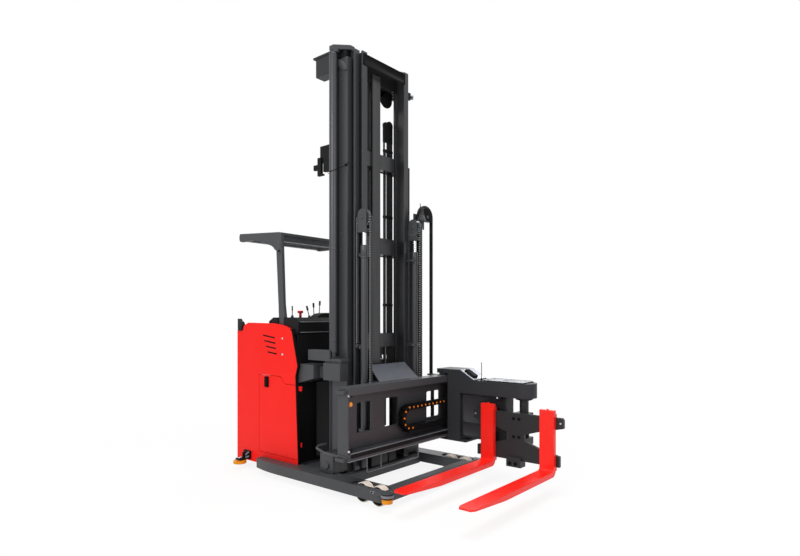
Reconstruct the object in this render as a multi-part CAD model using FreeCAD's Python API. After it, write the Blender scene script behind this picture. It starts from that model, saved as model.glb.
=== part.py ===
"""Turret truck: stand-on three-way stacking truck with a triple mast, a traversing
turret head and two forks that swivel from the right side, past the front, to the left.

Truck frame while modelling: +X forward, +Y to the driver's left, +Z up, floor at Z = 0,
X = 0 at the front face of the base frame, Y = 0 at the middle of the truck.
The finished pieces are moved so that the origin lies on the floor under the middle
of the whole truck's box.  All lengths are in millimetres.
"""
import FreeCAD, Part
import math
import os

V = FreeCAD.Vector
X_AXIS, Y_AXIS, Z_AXIS = V(1, 0, 0), V(0, 1, 0), V(0, 0, 1)
SIDES = (-1, 1)                      # right, left

# ---- clearances ------------------------------------------------------------
SEAT = 0.3                           # between pieces that rest on each other
MOVE = 6.0                           # between pieces that move past each other
FIT = 0.05                           # radial, between a pin and its bore

# ---- base frame ------------------------------------------------------------
BASE_WIDTH = 1300.0
LEG_WIDTH = 150.0
LEG_TOP = 136.0
LEG_BOTTOM = 49.0
CROSS_DEPTH = 82.0                   # front crossmember, along X
CORNER_R = 60.0                      # rounded front corners of the base
LEG_STRAIGHT_X = -1250.0             # behind this the legs curve in to the body
LEG_REAR_X, LEG_REAR_Y = -1560.0, 612.0      # outer corner at the rear end of each leg
SILL_FRONT_X, SILL_REAR_X = -560.0, -800.0   # cross plate under the mast
SILL_BOTTOM = 40.0
FLOOR_PLATE_T = 36.0                 # steel floor of the body, top flush with the legs

# ---- wheels ----------------------------------------------------------------
LOAD_WHEEL_R = 75.0
LOAD_WHEEL_W = 66.0
LOAD_WHEEL_INSET = 80.0              # from the leg's outer face to the middle of the wheels
LOAD_WHEEL_Y = BASE_WIDTH / 2 - LOAD_WHEEL_INSET
LOAD_AXLE_R = 15.0
LOAD_WHEEL_X = (-98.0, -257.0)
WHEEL_GAP = 8.0                      # around each load wheel in the leg's slot
BULKHEAD_X = -1482.0                 # wall between battery and operator
DRIVE_X, DRIVE_Y = BULKHEAD_X - 208, 262.0
DRIVE_WHEEL_R = 150.0
DRIVE_WHEEL_W = 95.0
DRIVE_AXLE_R = 30.0
FRONT_ROLLER_R, FRONT_ROLLER_T = 40.0, 32.0
REAR_ROLLER_R, REAR_ROLLER_T = 60.0, 28.0
ROLLER_OUT = 32.0                    # how far the front guide rollers stand out past the legs
ROLLER_GAP = 15.0                    # between the rear guide rollers and the body's panels
ROLLER_PIN_R = 10.0
ROLLER_PLATE_T = 12.0                # bracket plate over each roller
FRONT_ROLLER_X = 31.0
REAR_ROLLER_X = BULKHEAD_X - 318
FRONT_ROLLER_Z, REAR_ROLLER_Z = 61.0, 50.0

# ---- body ------------------------------------------------------------------
PANEL_OUT = 547.0                    # outer face of the red side panels
PANEL_T = 30.0
OPERATOR_LENGTH = 468.0              # from the bulkhead's rear face to the body's rear edge
PANEL_REAR_X = BULKHEAD_X - OPERATOR_LENGTH
PANEL_TOP_Z = 1352.0
PANEL_BOTTOM_Z = 68.0
HORN_FOOT_Z = 1275.0                 # floor of the notch at the panel's top rear corner
DOOR_REAR_X = -1607.0
DOOR_LATCH_X = DOOR_REAR_X + 107      # middle of the latch recess
DOOR_TOP_Z, DOOR_STEP_Z, DOOR_BOTTOM_Z = 877.0, 815.0, 181.0
DOOR_GAP = 5.0
HINGE_R, HINGE_PIN_R = 11.0, 6.0
COVER_FRONT_X = -1098.0              # black front cover of the body
COVER_T = 18.0
DECK_Z = 1256.0                      # underside of the console top
CONSOLE_TOP_Z = 1400.0
CONSOLE_EDGE_Z = 1361.0              # upper edge of the console's front face
HUMP_H = 43.0                        # raised dark block along the console
BULKHEAD_T = 18.0
BATTERY_TOP_Z = 870.0
PLATFORM_Z = 232.0
PLATFORM_T = 32.0
DRIVE_COVER_TOP_Z = 905.0
DRIVE_COVER_Y = 8.0                  # inner side wall of the drive cover
DRIVE_COVER_T = 12.0

# ---- overhead guard --------------------------------------------------------
GUARD_HALF = 505.0
GUARD_REAR_X = PANEL_REAR_X - 30     # the roof reaches a little past the body
GUARD_FRONT_X = -1345.0
GUARD_TOP_Z = 2165.0
GUARD_RISE = 38.0                    # the roof is this much higher at the rear
GUARD_PLATE_T = 12.0
PILLAR_T = 30.0
GUARD_FOOT_Z = 1190.0

# ---- mast ------------------------------------------------------------------
RAIL_DEPTH = 121.0                   # along X
RAIL_FLANGE_W = 58.0
RAIL_FLANGE_T = 15.0
RAIL_WEB_T = 14.0
WEB_SETBACK = 23.5                   # web behind the flange edge on the two inner stages
STAGE_DX, STAGE_DY = 43.0, 46.5      # each stage stands this much further forward and in
INNER_FRONT_X = -539.0
INNER_OUT_Y = 301.5
CAP_TOP_Z, CAP_T = 3665.0, 37.0      # cap plates on the middle stage, over the cylinders
CAP_REAR_X, CAP_FRONT_X, CAP_OUT_Y = -775.0, -625.0, 455.0
CAP_CORNER = 100.0                   # plan chamfer of the caps' outer front corner
CAP_BLOCK_H = 22.0                   # block under each cap, on top of the rod
OUTER_BOTTOM_Z, OUTER_TOP_Z = 60.0, CAP_TOP_Z - 105
MID_BOTTOM_Z, MID_TOP_Z = 130.0, CAP_TOP_Z - CAP_T
INNER_BOTTOM_Z, INNER_TOP_Z = 150.0, CAP_TOP_Z - 50
BAR_T = 14.0                         # bars across the stages, behind the rails
LOW_BAR_ZS = (302.0, 402.0)
BAR_ZS = ((1140.0, 1260.0), (1955.0, 2100.0), (2705.0, 2835.0))
TOP_BAR_Z = CAP_TOP_Z - 225
MID_ROLLER_Z, INNER_ROLLER_Z = 240.0, 360.0
CYL_X, CYL_Y, CYL_R = -749.0, 433.0, 35.0
CYL_FOOT_Z, CYL_TOP_Z = 1072.0, CAP_TOP_Z - CAP_T - CAP_BLOCK_H - MOVE
ROD_R = 19.0
SHELF_REAR_X, SHELF_Y0, SHELF_Y1 = -1040.0, -398.0, -285.0   # shelf behind the mast's top
HOSE_R = 9.0                         # hoses on the middle stage and over the pulley
MAST_HOSE_Z1 = 2990.0
HOSE_JOINT_Z, HOSE_JOINT_H = 800.0, 70.0      # block that joins five hoses to the last two below it
LOW_HOSE_Z0 = LOW_BAR_ZS[1] + 8
MAST_HOSE_Y = (143.0, 189.5, 208.5, 227.5, 246.5)
FREE_X, FREE_Y, FREE_R = -490.0, 332.0, 29.0
FREE_BOTTOM_Z, FREE_TOP_Z = 486.0, 1990.0
FREE_ROD_R = 17.0
SHEAVE_R, SHEAVE_T, SHEAVE_Z = 75.0, 26.0, 2215.0
CHAIN_W, CHAIN_T = 22.0, 14.0
CHAIN_ANCHOR_Z, CHAIN_CARRIAGE_Z = 1180.0, 850.0
HEAD_CHEEK = 48.5                    # half width of the holders beside the sheaves
CLAMP_ZS, CLAMP_H = (1140.0, 1900.0), 26.0
PULLEY_Y, PULLEY_Z, PULLEY_R = 485.0, 2330.0, 97.0   # rounded hose guide outside the left holder
PULLEY_DROP = 39.0                   # how far the guide reaches below its middle


# ---- carriage, traverse frame, turret head ---------------------------------
CARRIAGE_PLATE_T = 24.0
FRAME_FRONT_X, FRAME_DEPTH = -280.0, 120.0
FRAME_HALF = 720.0
FRAME_TOP_Z, FRAME_BOTTOM_Z = 872.0, 315.0
FRAME_RAIL_H = 60.0
FRAME_PLATE_T = 15.0
STRAP_OUT, STRAP_T, STRAP_H = 37.0, 8.0, 26.0
WINDOW_YS = ((-530, -360), (-200, -30), (370, 570))   # windows of the back plate
HEAD_Y = 650.0                       # turret head at the left end of the frame
HEAD_HALF = 107.0
HEAD_TOP_Z = 930.0
ARM_TOP_Z, ARM_BOTTOM_Z = 845.0, 722.0
POST_FRONT_X = -140.0
SLOPE_X0, SLOPE_X1 = -138.0, 10.0
BOX_HALF, BOX_FRONT_X, BOX_BOTTOM_Z = 60.0, 308.0, 322.0
SWIVEL_X = 441.5
SHAFT_R = 38.0
SHAFT_BOTTOM_Z = 352.0
PLATE_FACE, PLATE_T = 138.0, 30.0    # front face of the fork plate, ahead of the swivel axis
PLATE_HALF = 410.0
PLATE_TOP_Z, PLATE_BOTTOM_Z = 606.0, 215.0
PLATE_WAIST = 70.0                   # half width of the middle of the fork plate
LOWER_HALF = 376.0                   # half width of its lower bar
BOLT_DX, BOLT_ZS = 25.0, (560.0, 409.0)

# ---- forks -----------------------------------------------------------------
FORK_W, FORK_T = 122.0, 40.0
FORK_LENGTH = 1170.0                 # from the shank's front face to the tip
FORK_TOP_Z = 185.0
SHANK_TOP_Z = 665.0
FORK_INNER, FORK_OUTER = -256.0, 287.0   # middle of each fork from the swivel axis

parts = {}


# ---- small helpers ---------------------------------------------------------
def box(x0, x1, y0, y1, z0, z1):
    """Box between two corners, in any order."""
    lo = V(min(x0, x1), min(y0, y1), min(z0, z1))
    return Part.makeBox(abs(x1 - x0), abs(y1 - y0), abs(z1 - z0), lo)


def rod(x, y, z, axis, radius, length):
    """Cylinder that starts at a point and runs along an axis."""
    return Part.makeCylinder(radius, length, V(x, y, z), axis)


def side_plate(points, y0, y1):
    """Prism of an outline in X and Z, between two Y planes."""
    wire = Part.makePolygon([V(x, y0, z) for x, z in points + points[:1]])
    return Part.Face(wire).extrude(V(0, y1 - y0, 0))


def plan_plate(points, z0, z1):
    """Prism of an outline in X and Y, between two Z planes."""
    wire = Part.makePolygon([V(x, y, z0) for x, y in points + points[:1]])
    return Part.Face(wire).extrude(V(0, 0, z1 - z0))


def front_plate(points, x0, x1):
    """Prism of an outline in Y and Z, between two X planes."""
    wire = Part.makePolygon([V(x0, y, z) for y, z in points + points[:1]])
    return Part.Face(wire).extrude(V(x1 - x0, 0, 0))


def fuse(first, *others):
    """One clean solid from touching pieces."""
    return first.multiFuse(list(others)).removeSplitter() if others else first


def mirrored(shape):
    """The same piece on the other side of the truck."""
    return shape.mirror(V(0, 0, 0), Y_AXIS)


def round_edges(shape, radius, wanted):
    """Fillet the edges that a test picks."""
    return shape.makeFillet(radius, [e for e in shape.Edges if wanted(e)])


def is_along(edge, axis):
    """True for a straight edge parallel to an axis."""
    if edge.Curve.TypeId != "Part::GeomLine":
        return False
    return abs(abs(edge.tangentAt(edge.FirstParameter).dot(axis)) - 1) < 1e-6


def both_sides(shape):
    """A piece and its mirror image as one node."""
    return Part.makeCompound([shape, mirrored(shape)])


def save(name, shape):
    """Keep a finished piece under its node name."""
    parts[name] = shape
    return shape


# ---- base frame, wheels and rollers ----------------------------------------
half_base = BASE_WIDTH / 2
leg_in = half_base - LEG_WIDTH
slot_front = LOAD_WHEEL_X[0] + LOAD_WHEEL_R + WHEEL_GAP
slot_rear = LOAD_WHEEL_X[1] - LOAD_WHEEL_R - WHEEL_GAP
slot_half = LOAD_WHEEL_W / 2 + WHEEL_GAP


def leg_solid():
    """Left leg: straight in front, curving in to the body behind, with the wheels' slot."""
    top = V(0, half_base - CORNER_R, LEG_BOTTOM)
    corner_mid = V(-CORNER_R * (1 - math.sqrt(0.5)), half_base - CORNER_R * (1 - math.sqrt(0.5)), LEG_BOTTOM)
    corner_end = V(-CORNER_R, half_base, LEG_BOTTOM)
    straight_end = V(LEG_STRAIGHT_X, half_base, LEG_BOTTOM)
    rear_out = V(LEG_REAR_X, LEG_REAR_Y, LEG_BOTTOM)
    curve_mid = V((LEG_STRAIGHT_X + LEG_REAR_X) / 2, half_base - (half_base - LEG_REAR_Y) * 0.27, LEG_BOTTOM)
    rear_in = V(LEG_REAR_X, leg_in, LEG_BOTTOM)
    front_in = V(0, leg_in, LEG_BOTTOM)
    edges = [Part.Arc(top, corner_mid, corner_end).toShape(),
             Part.makeLine(corner_end, straight_end),
             Part.Arc(straight_end, curve_mid, rear_out).toShape(),
             Part.makeLine(rear_out, rear_in),
             Part.makeLine(rear_in, front_in),
             Part.makeLine(front_in, top)]
    solid = Part.Face(Part.Wire(edges)).extrude(V(0, 0, LEG_TOP - LEG_BOTTOM))
    slot = box(slot_rear, slot_front, LOAD_WHEEL_Y - slot_half, LOAD_WHEEL_Y + slot_half, 0, LEG_TOP + 1)
    return solid.cut(slot)


body_in = PANEL_OUT - PANEL_T
bridge_z = 2 * DRIVE_WHEEL_R + 45
bridge_t = 20.0
drive_hole_r = DRIVE_WHEEL_R + 40
front_roller_y = half_base + ROLLER_OUT - FRONT_ROLLER_R
rear_roller_y = PANEL_OUT + ROLLER_GAP + REAR_ROLLER_R
front_plate_z = FRONT_ROLLER_Z + FRONT_ROLLER_T + MOVE
rear_plate_z = REAR_ROLLER_Z + REAR_ROLLER_T + MOVE


def base_frame():
    left = leg_solid()
    front = box(-CROSS_DEPTH, 0, -leg_in, leg_in, LEG_BOTTOM, LEG_TOP)
    sill = box(SILL_REAR_X, SILL_FRONT_X, -leg_in, leg_in, SILL_BOTTOM, LEG_TOP - 20)
    floor = box(PANEL_REAR_X + 5, COVER_FRONT_X, -body_in + MOVE, body_in - MOVE, LEG_TOP - FLOOR_PLATE_T, LEG_TOP)
    neck = box(COVER_FRONT_X, SILL_REAR_X, -leg_in, leg_in, LEG_TOP - FLOOR_PLATE_T, LEG_TOP - 20)
    bumper = box(PANEL_REAR_X + 5, PANEL_REAR_X + 30, -body_in + MOVE, body_in - MOVE, PANEL_BOTTOM_Z, LEG_TOP)
    frame = fuse(left, mirrored(left), front, sill, floor, neck, bumper)
    frame = frame.cut(rod(DRIVE_X, DRIVE_Y, 0, Z_AXIS, drive_hole_r, LEG_TOP + 1))
    for side in SIDES:
        roller_y = side * front_roller_y
        pocket_z = front_plate_z + ROLLER_PLATE_T + SEAT
        frame = frame.cut(rod(FRONT_ROLLER_X, roller_y, 0, Z_AXIS, FRONT_ROLLER_R + MOVE, pocket_z))
        boss = fuse(rod(FRONT_ROLLER_X, roller_y, pocket_z, Z_AXIS, FRONT_ROLLER_R + 4, LEG_TOP - pocket_z),
                    box(-CORNER_R, FRONT_ROLLER_X, roller_y - 30, roller_y + 30, pocket_z, LEG_TOP))
        frame = frame.fuse(boss)
    bridge = box(DRIVE_X - 210, DRIVE_X + 190, DRIVE_Y - 210, DRIVE_Y + 210, bridge_z, bridge_z + bridge_t)
    bridge = bridge.cut(rod(DRIVE_X, DRIVE_Y, bridge_z - 1, Z_AXIS, 66, bridge_t + 2))
    props = [box(DRIVE_X + dx - 10, DRIVE_X + dx + 10, DRIVE_Y - 210, DRIVE_Y + 210, LEG_TOP, bridge_z)
             for dx in (-200, 180)]
    return fuse(frame, bridge, *props)


save("base_frame", base_frame())

axles = [rod(x, side * LOAD_WHEEL_Y - slot_half, LOAD_WHEEL_R, Y_AXIS, LOAD_AXLE_R, 2 * slot_half)
         for x in LOAD_WHEEL_X for side in SIDES]
save("load_axles", Part.makeCompound(axles))


def load_wheel(x, y):
    """Tread and hub of one load wheel."""
    wheel = rod(x, y - LOAD_WHEEL_W / 2, LOAD_WHEEL_R, Y_AXIS, LOAD_WHEEL_R, LOAD_WHEEL_W)
    wheel = round_edges(wheel, 6, lambda e: e.Curve.TypeId == "Part::GeomCircle")
    return wheel.cut(rod(x, y - LOAD_WHEEL_W, LOAD_WHEEL_R, Y_AXIS, LOAD_AXLE_R + FIT, 2 * LOAD_WHEEL_W))


for row, wheel_x in zip(("front", "rear"), LOAD_WHEEL_X):
    for hand, side in zip(("right", "left"), SIDES):
        save(f"load_wheel_{row}_{hand}", load_wheel(wheel_x, side * LOAD_WHEEL_Y))

roller_places = {"front": (FRONT_ROLLER_X, front_roller_y, FRONT_ROLLER_R, FRONT_ROLLER_T, FRONT_ROLLER_Z),
                 "rear": (REAR_ROLLER_X, rear_roller_y, REAR_ROLLER_R, REAR_ROLLER_T, REAR_ROLLER_Z)}


def guide_roller(x, y, radius, thick, z):
    roller = round_edges(rod(x, y, z, Z_AXIS, radius, thick), 5, lambda e: e.Curve.TypeId == "Part::GeomCircle")
    return roller.cut(rod(x, y, 0, Z_AXIS, ROLLER_PIN_R + FIT, 200))


for row, (rx, ry, rr, rt, rz) in roller_places.items():
    for hand, side in zip(("right", "left"), SIDES):
        save(f"guide_roller_{row}_{hand}", guide_roller(rx, side * ry, rr, rt, rz))


def roller_brackets():
    """Left pair: a round plate in the base corner's pocket, a boxed shelf on the body's rear corner."""
    front_y, rear_y = front_roller_y, rear_roller_y
    plate = rod(FRONT_ROLLER_X, front_y, front_plate_z, Z_AXIS, FRONT_ROLLER_R + 2, ROLLER_PLATE_T)
    pin = rod(FRONT_ROLLER_X, front_y, FRONT_ROLLER_Z, Z_AXIS, ROLLER_PIN_R, FRONT_ROLLER_T + MOVE + 1)
    wall = PANEL_OUT + SEAT
    shelf = box(REAR_ROLLER_X - 35, REAR_ROLLER_X + 35, wall, rear_y + 25, rear_plate_z, rear_plate_z + ROLLER_PLATE_T)
    back = box(REAR_ROLLER_X - 35, REAR_ROLLER_X + 70, wall, wall + 12, rear_plate_z, 160)
    rear_pin = rod(REAR_ROLLER_X, rear_y, REAR_ROLLER_Z, Z_AXIS, ROLLER_PIN_R, REAR_ROLLER_T + MOVE + 1)
    cheek = box(REAR_ROLLER_X + 20, REAR_ROLLER_X + 32, wall + 5, rear_y - 10, rear_plate_z, 150)
    return Part.makeCompound([fuse(plate, pin), fuse(shelf, back, cheek, rear_pin)])


left_brackets = roller_brackets()
save("guide_roller_brackets", Part.makeCompound([left_brackets, mirrored(left_brackets)]))


# ---- drive unit ------------------------------------------------------------
def drive_unit():
    """Steered turntable under the bridge, motor above it, gear leg beside the wheel."""
    ring = rod(DRIVE_X, DRIVE_Y, bridge_z - 30, Z_AXIS, 120, 30 - SEAT)
    neck = rod(DRIVE_X, DRIVE_Y, bridge_z - 30, Z_AXIS, 60, 30 + bridge_t + 20)
    motor = rod(DRIVE_X, DRIVE_Y, bridge_z + bridge_t + SEAT, Z_AXIS, 95, 330)
    gear = box(DRIVE_X - 62, DRIVE_X + 62, DRIVE_Y + DRIVE_WHEEL_W / 2 + MOVE, DRIVE_Y + 115, 70, bridge_z - 20)
    gear = round_edges(gear, 30, lambda e: is_along(e, Y_AXIS))
    axle = rod(DRIVE_X, DRIVE_Y - DRIVE_WHEEL_W / 2, DRIVE_WHEEL_R, Y_AXIS, DRIVE_AXLE_R, DRIVE_WHEEL_W + 20)
    return fuse(ring, neck, motor, gear, axle)


save("drive_unit", drive_unit())
drive_tyre = round_edges(rod(DRIVE_X, DRIVE_Y - DRIVE_WHEEL_W / 2, DRIVE_WHEEL_R, Y_AXIS, DRIVE_WHEEL_R, DRIVE_WHEEL_W),
                         8, lambda e: e.Curve.TypeId == "Part::GeomCircle")
save("drive_wheel", drive_tyre.cut(rod(DRIVE_X, DRIVE_Y - DRIVE_WHEEL_W, DRIVE_WHEEL_R, Y_AXIS,
                                       DRIVE_AXLE_R + FIT, 2 * DRIVE_WHEEL_W)))


# ---- body ------------------------------------------------------------------
panel_outline = [(PANEL_REAR_X, PANEL_BOTTOM_Z), (LEG_REAR_X - 10, PANEL_BOTTOM_Z), (LEG_REAR_X - 10, LEG_TOP + SEAT),
                 (-1064, LEG_TOP + SEAT), (-1100, 897), (-1072, 981), (-1148, 1278), (-1172, 1300),
                 (-1290, 1333), (-1420, 1347), (PANEL_REAR_X + 171, PANEL_TOP_Z),
                 (PANEL_REAR_X + 102, 1322), (PANEL_REAR_X + 88, HORN_FOOT_Z),
                 (PANEL_REAR_X, HORN_FOOT_Z)]
door_outline = [(DOOR_REAR_X, DOOR_BOTTOM_Z), (-1066, DOOR_BOTTOM_Z), (-1096, DOOR_STEP_Z), (-1234, DOOR_STEP_Z),
                (-1268, 836), (-1290, 868), (-1318, DOOR_TOP_Z), (DOOR_REAR_X, DOOR_TOP_Z)]
hinge_x = COVER_FRONT_X + 20
hinge_y = body_in - HINGE_R - 3
hinge_zs = (DOOR_BOTTOM_Z + 119, DOOR_STEP_Z - 30)


def body_panel():
    """Left side panel with the door's opening and the four cooling slots."""
    panel = side_plate(panel_outline, body_in, PANEL_OUT)
    opening = [(DOOR_REAR_X - DOOR_GAP, DOOR_BOTTOM_Z - DOOR_GAP), (-1000, DOOR_BOTTOM_Z - DOOR_GAP),
               (-1000, DOOR_STEP_Z + DOOR_GAP), (-1231, DOOR_STEP_Z + DOOR_GAP), (-1264, 839), (-1287, 873),
               (-1316, DOOR_TOP_Z + DOOR_GAP), (DOOR_REAR_X - DOOR_GAP, DOOR_TOP_Z + DOOR_GAP)]
    panel = panel.cut(side_plate(opening, body_in - 1, PANEL_OUT + 1))
    for step in range(4):
        rear_x, front_x = -1555 + 23 * step, -1381 + 8 * step
        top_z = 1246 - 50 * step
        drop = 22 - 3 * step
        slot = [(rear_x, top_z), (front_x, top_z - drop), (front_x, top_z - drop - 13), (rear_x, top_z - 13)]
        panel = panel.cut(side_plate(slot, body_in - 1, PANEL_OUT + 1))
    return panel


panel_left = body_panel()
save("body_panel_left", panel_left)
save("body_panel_right", mirrored(panel_left))


def service_door():
    """Left battery door with two hinge knuckles at its front edge."""
    door = side_plate(door_outline, body_in, PANEL_OUT)
    recess = box(DOOR_LATCH_X - 20, DOOR_LATCH_X + 20, PANEL_OUT - 14, PANEL_OUT + 1, 790, 868)
    door = door.cut(recess)
    knuckles = []
    for z in hinge_zs:
        tube = rod(hinge_x, hinge_y, z - 20, Z_AXIS, HINGE_R, 40)
        tab = box(hinge_x - 18, hinge_x + 6, hinge_y, body_in + 1, z - 20, z + 20)
        knuckles.append(fuse(tube, tab).cut(rod(hinge_x, hinge_y, z - 40, Z_AXIS, HINGE_PIN_R + FIT, 80)))
    return fuse(door, *knuckles)


door_left = service_door()
save("service_door_left", door_left)
save("service_door_right", mirrored(door_left))


def front_cover():
    """Black wall behind the mast, with the door hinges' pins on its edges."""
    wall = box(COVER_FRONT_X - COVER_T, COVER_FRONT_X, -body_in + SEAT, body_in - SEAT, LEG_TOP + SEAT, DECK_Z - SEAT)
    pieces = []
    for side in SIDES:
        for z in hinge_zs:
            pin = rod(hinge_x, side * hinge_y, z - 34, Z_AXIS, HINGE_PIN_R, 68)
            ears = [box(COVER_FRONT_X - 6, hinge_x + 7, side * (hinge_y - 8), side * (hinge_y + 4), z + dz, z + dz + 10)
                    for dz in (-34, 24)]
            pieces += [pin] + ears
    return fuse(wall, *pieces)


save("front_cover", front_cover())

save("battery", box(BULKHEAD_X + BULKHEAD_T + 10, COVER_FRONT_X - COVER_T - SEAT, -body_in + 25, body_in - 25,
                    LEG_TOP + SEAT, BATTERY_TOP_Z))


foot_rear_x, foot_front_x = GUARD_FRONT_X - 33, GUARD_FRONT_X + 48
HUMP_X0, HUMP_X1 = COVER_FRONT_X - 172, COVER_FRONT_X - 72


def console():
    """Bulkhead in front of the operator, with the console top over the battery room."""
    bulkhead = box(BULKHEAD_X, BULKHEAD_X + BULKHEAD_T, -body_in + SEAT, body_in - SEAT, LEG_TOP + SEAT, DECK_Z + 5)
    outline = [(COVER_FRONT_X + 4, DECK_Z + 14), (COVER_FRONT_X + 4, CONSOLE_EDGE_Z), (COVER_FRONT_X - 34, CONSOLE_TOP_Z),
               (BULKHEAD_X + 40, CONSOLE_TOP_Z), (BULKHEAD_X - 22, CONSOLE_TOP_Z - 34), (BULKHEAD_X - 22, DECK_Z + 30),
               (BULKHEAD_X, DECK_Z), (COVER_FRONT_X - 12, DECK_Z)]
    top = side_plate(outline, -body_in + SEAT, body_in - SEAT)
    hump_top = CONSOLE_TOP_Z + HUMP_H
    hump = front_plate([(-236, CONSOLE_TOP_Z - 1), (-215, CONSOLE_TOP_Z + 18), (-178, hump_top - 8), (-130, hump_top),
                        (270, hump_top), (318, hump_top - 10), (345, CONSOLE_TOP_Z - 1)], HUMP_X0, HUMP_X1)
    body = fuse(bulkhead, top, hump)
    for side in SIDES:
        body = body.cut(box(foot_rear_x - SEAT, foot_front_x + SEAT, side * (GUARD_HALF - PILLAR_T - SEAT),
                            side * (body_in + SEAT), GUARD_FOOT_Z - SEAT, CONSOLE_TOP_Z + 1))
    return body


save("console", console())


LEVER_X = HUMP_X0 - 60
LEVERS = ((-391, 104, 6, 0), (-188, 112, 9, -17), (-131, 137, 9, -3), (-68, 157, 9, 4))   # place, height, grip, lean
BUTTON_Y, BUTTON_TOP = -297.0, 60.0


def console_controls():
    """Levers, stop button and display on the console top."""
    pieces = []
    for y, tall, grip_r, lean in LEVERS:
        axis = V(0, math.sin(math.radians(lean)), math.cos(math.radians(lean)))
        foot = V(LEVER_X, y, CONSOLE_TOP_Z)
        stem = Part.makeCylinder(4, tall - 10, foot - axis * 5, axis)
        grip = Part.makeCylinder(grip_r, 42, foot + axis * (tall - 42), axis)
        boot = Part.makeCone(19, 6, 25, foot - axis * 5, axis)
        below = box(LEVER_X - 50, LEVER_X + 50, y - 50, y + 50, 0, CONSOLE_TOP_Z + SEAT)
        pieces.append(fuse(stem, grip, boot).cut(below))
    stalk = rod(LEVER_X, BUTTON_Y, CONSOLE_TOP_Z + SEAT, Z_AXIS, 12, BUTTON_TOP - 15)
    button = fuse(stalk, rod(LEVER_X, BUTTON_Y, CONSOLE_TOP_Z + BUTTON_TOP - 20, Z_AXIS, 24, 20))
    display = box(LEVER_X - 110, LEVER_X - 10, 290, 430, CONSOLE_TOP_Z + SEAT, CONSOLE_TOP_Z + 14)
    return Part.makeCompound(pieces + [button, display])


save("console_controls", console_controls())

STEER_X, STEER_Y, STEER_R, STEER_GRIP = HUMP_X0 - 130, 150.0, 105.0, 11.0
steer_wheel_z = CONSOLE_TOP_Z + SEAT
steer_rim = Part.makeTorus(STEER_R, STEER_GRIP, V(STEER_X, STEER_Y, steer_wheel_z + 22), Z_AXIS)
steer_hub = rod(STEER_X, STEER_Y, steer_wheel_z, Z_AXIS, 34, 30)
steer_spokes = [box(STEER_X, STEER_X + side * (STEER_R - 2), STEER_Y - 10, STEER_Y + 10,
                    steer_wheel_z + 14, steer_wheel_z + 24) for side in SIDES]
save("steering_wheel", fuse(steer_rim, steer_hub, *steer_spokes))


def operator_platform():
    """Floor plate with a mat's edge and a step under it, beside the drive cover."""
    floor = box(PANEL_REAR_X + 10, BULKHEAD_X - SEAT, -body_in + SEAT, DRIVE_COVER_Y - SEAT, PLATFORM_Z - PLATFORM_T, PLATFORM_Z)
    riser = box(PANEL_REAR_X + 10, PANEL_REAR_X + 22, -body_in + SEAT, DRIVE_COVER_Y - SEAT, LEG_TOP + SEAT, PLATFORM_Z)
    ribs = [box(PANEL_REAR_X + 20, BULKHEAD_X - SEAT, y, y + 12, LEG_TOP + SEAT, PLATFORM_Z - PLATFORM_T + 1)
            for y in (-body_in + 20, -body_in / 2, -30)]
    return fuse(floor, riser, *ribs)


save("operator_platform", operator_platform())


def drive_cover():
    """Housing over the drive unit: closed top, open underneath."""
    outer = box(PANEL_REAR_X + 10, BULKHEAD_X - SEAT, DRIVE_COVER_Y, body_in - SEAT, LEG_TOP + SEAT, DRIVE_COVER_TOP_Z)
    outer = round_edges(outer, 28, lambda e: is_along(e, Y_AXIS) and e.CenterOfMass.z > DRIVE_COVER_TOP_Z - 50
                        and e.CenterOfMass.x < DRIVE_X)
    inner = box(PANEL_REAR_X + 10 + DRIVE_COVER_T, BULKHEAD_X - SEAT - DRIVE_COVER_T, DRIVE_COVER_Y + DRIVE_COVER_T,
                body_in - SEAT - DRIVE_COVER_T, LEG_TOP - 1, DRIVE_COVER_TOP_Z - DRIVE_COVER_T - 20)
    pad = box(PANEL_REAR_X + 60, BULKHEAD_X - 60, DRIVE_COVER_Y + 25, body_in - 40, DRIVE_COVER_TOP_Z, DRIVE_COVER_TOP_Z + 24)
    return fuse(outer.cut(inner), pad)


save("drive_cover", drive_cover())


def corner_horn():
    """Left warning horn in the notch at the panel's top rear corner."""
    x, y, z = PANEL_REAR_X + 45, PANEL_OUT - PANEL_T / 2, HORN_FOOT_Z + SEAT
    base = rod(x, y, z, Z_AXIS, 34, 40)
    curl = [(x - 34, z), (x + 30, z), (x + 33, z + 52), (x + 18, z + 82), (x - 8, z + 92), (x - 22, z + 112), (x - 34, z + 114)]
    return fuse(base, side_plate(curl, y - 20, y + 20))


save("corner_horns", both_sides(corner_horn()))


# ---- overhead guard --------------------------------------------------------
def guard_side():
    """Left pillar and gusset: a plate whose lower edge sweeps back in a curve."""
    outline = [(GUARD_FRONT_X - 28, GUARD_TOP_Z), (GUARD_FRONT_X, GUARD_TOP_Z - 6), (GUARD_FRONT_X + 30, 1520),
               (foot_front_x, CONSOLE_TOP_Z + 2), (foot_front_x, GUARD_FOOT_Z), (foot_rear_x, GUARD_FOOT_Z),
               (foot_rear_x, CONSOLE_TOP_Z + 2), (GUARD_FRONT_X - 38, 1520), (GUARD_FRONT_X - 69, GUARD_TOP_Z - 165)]
    sweep = [(GUARD_FRONT_X - dx, GUARD_TOP_Z - dz) for dx, dz in
             ((96, 150), (108, 134), (136, 117), (186, 99), (260, 79), (340, 59), (400, 47), (435, 41))]
    tail = [(GUARD_REAR_X + 30, GUARD_TOP_Z - 41), (GUARD_REAR_X + 8, GUARD_TOP_Z - 32), (GUARD_REAR_X, GUARD_TOP_Z - 10),
            (GUARD_REAR_X, GUARD_TOP_Z + 14), (GUARD_REAR_X + 10, GUARD_TOP_Z + GUARD_RISE)]
    return side_plate(outline + sweep + tail, GUARD_HALF - PILLAR_T, GUARD_HALF)


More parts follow.
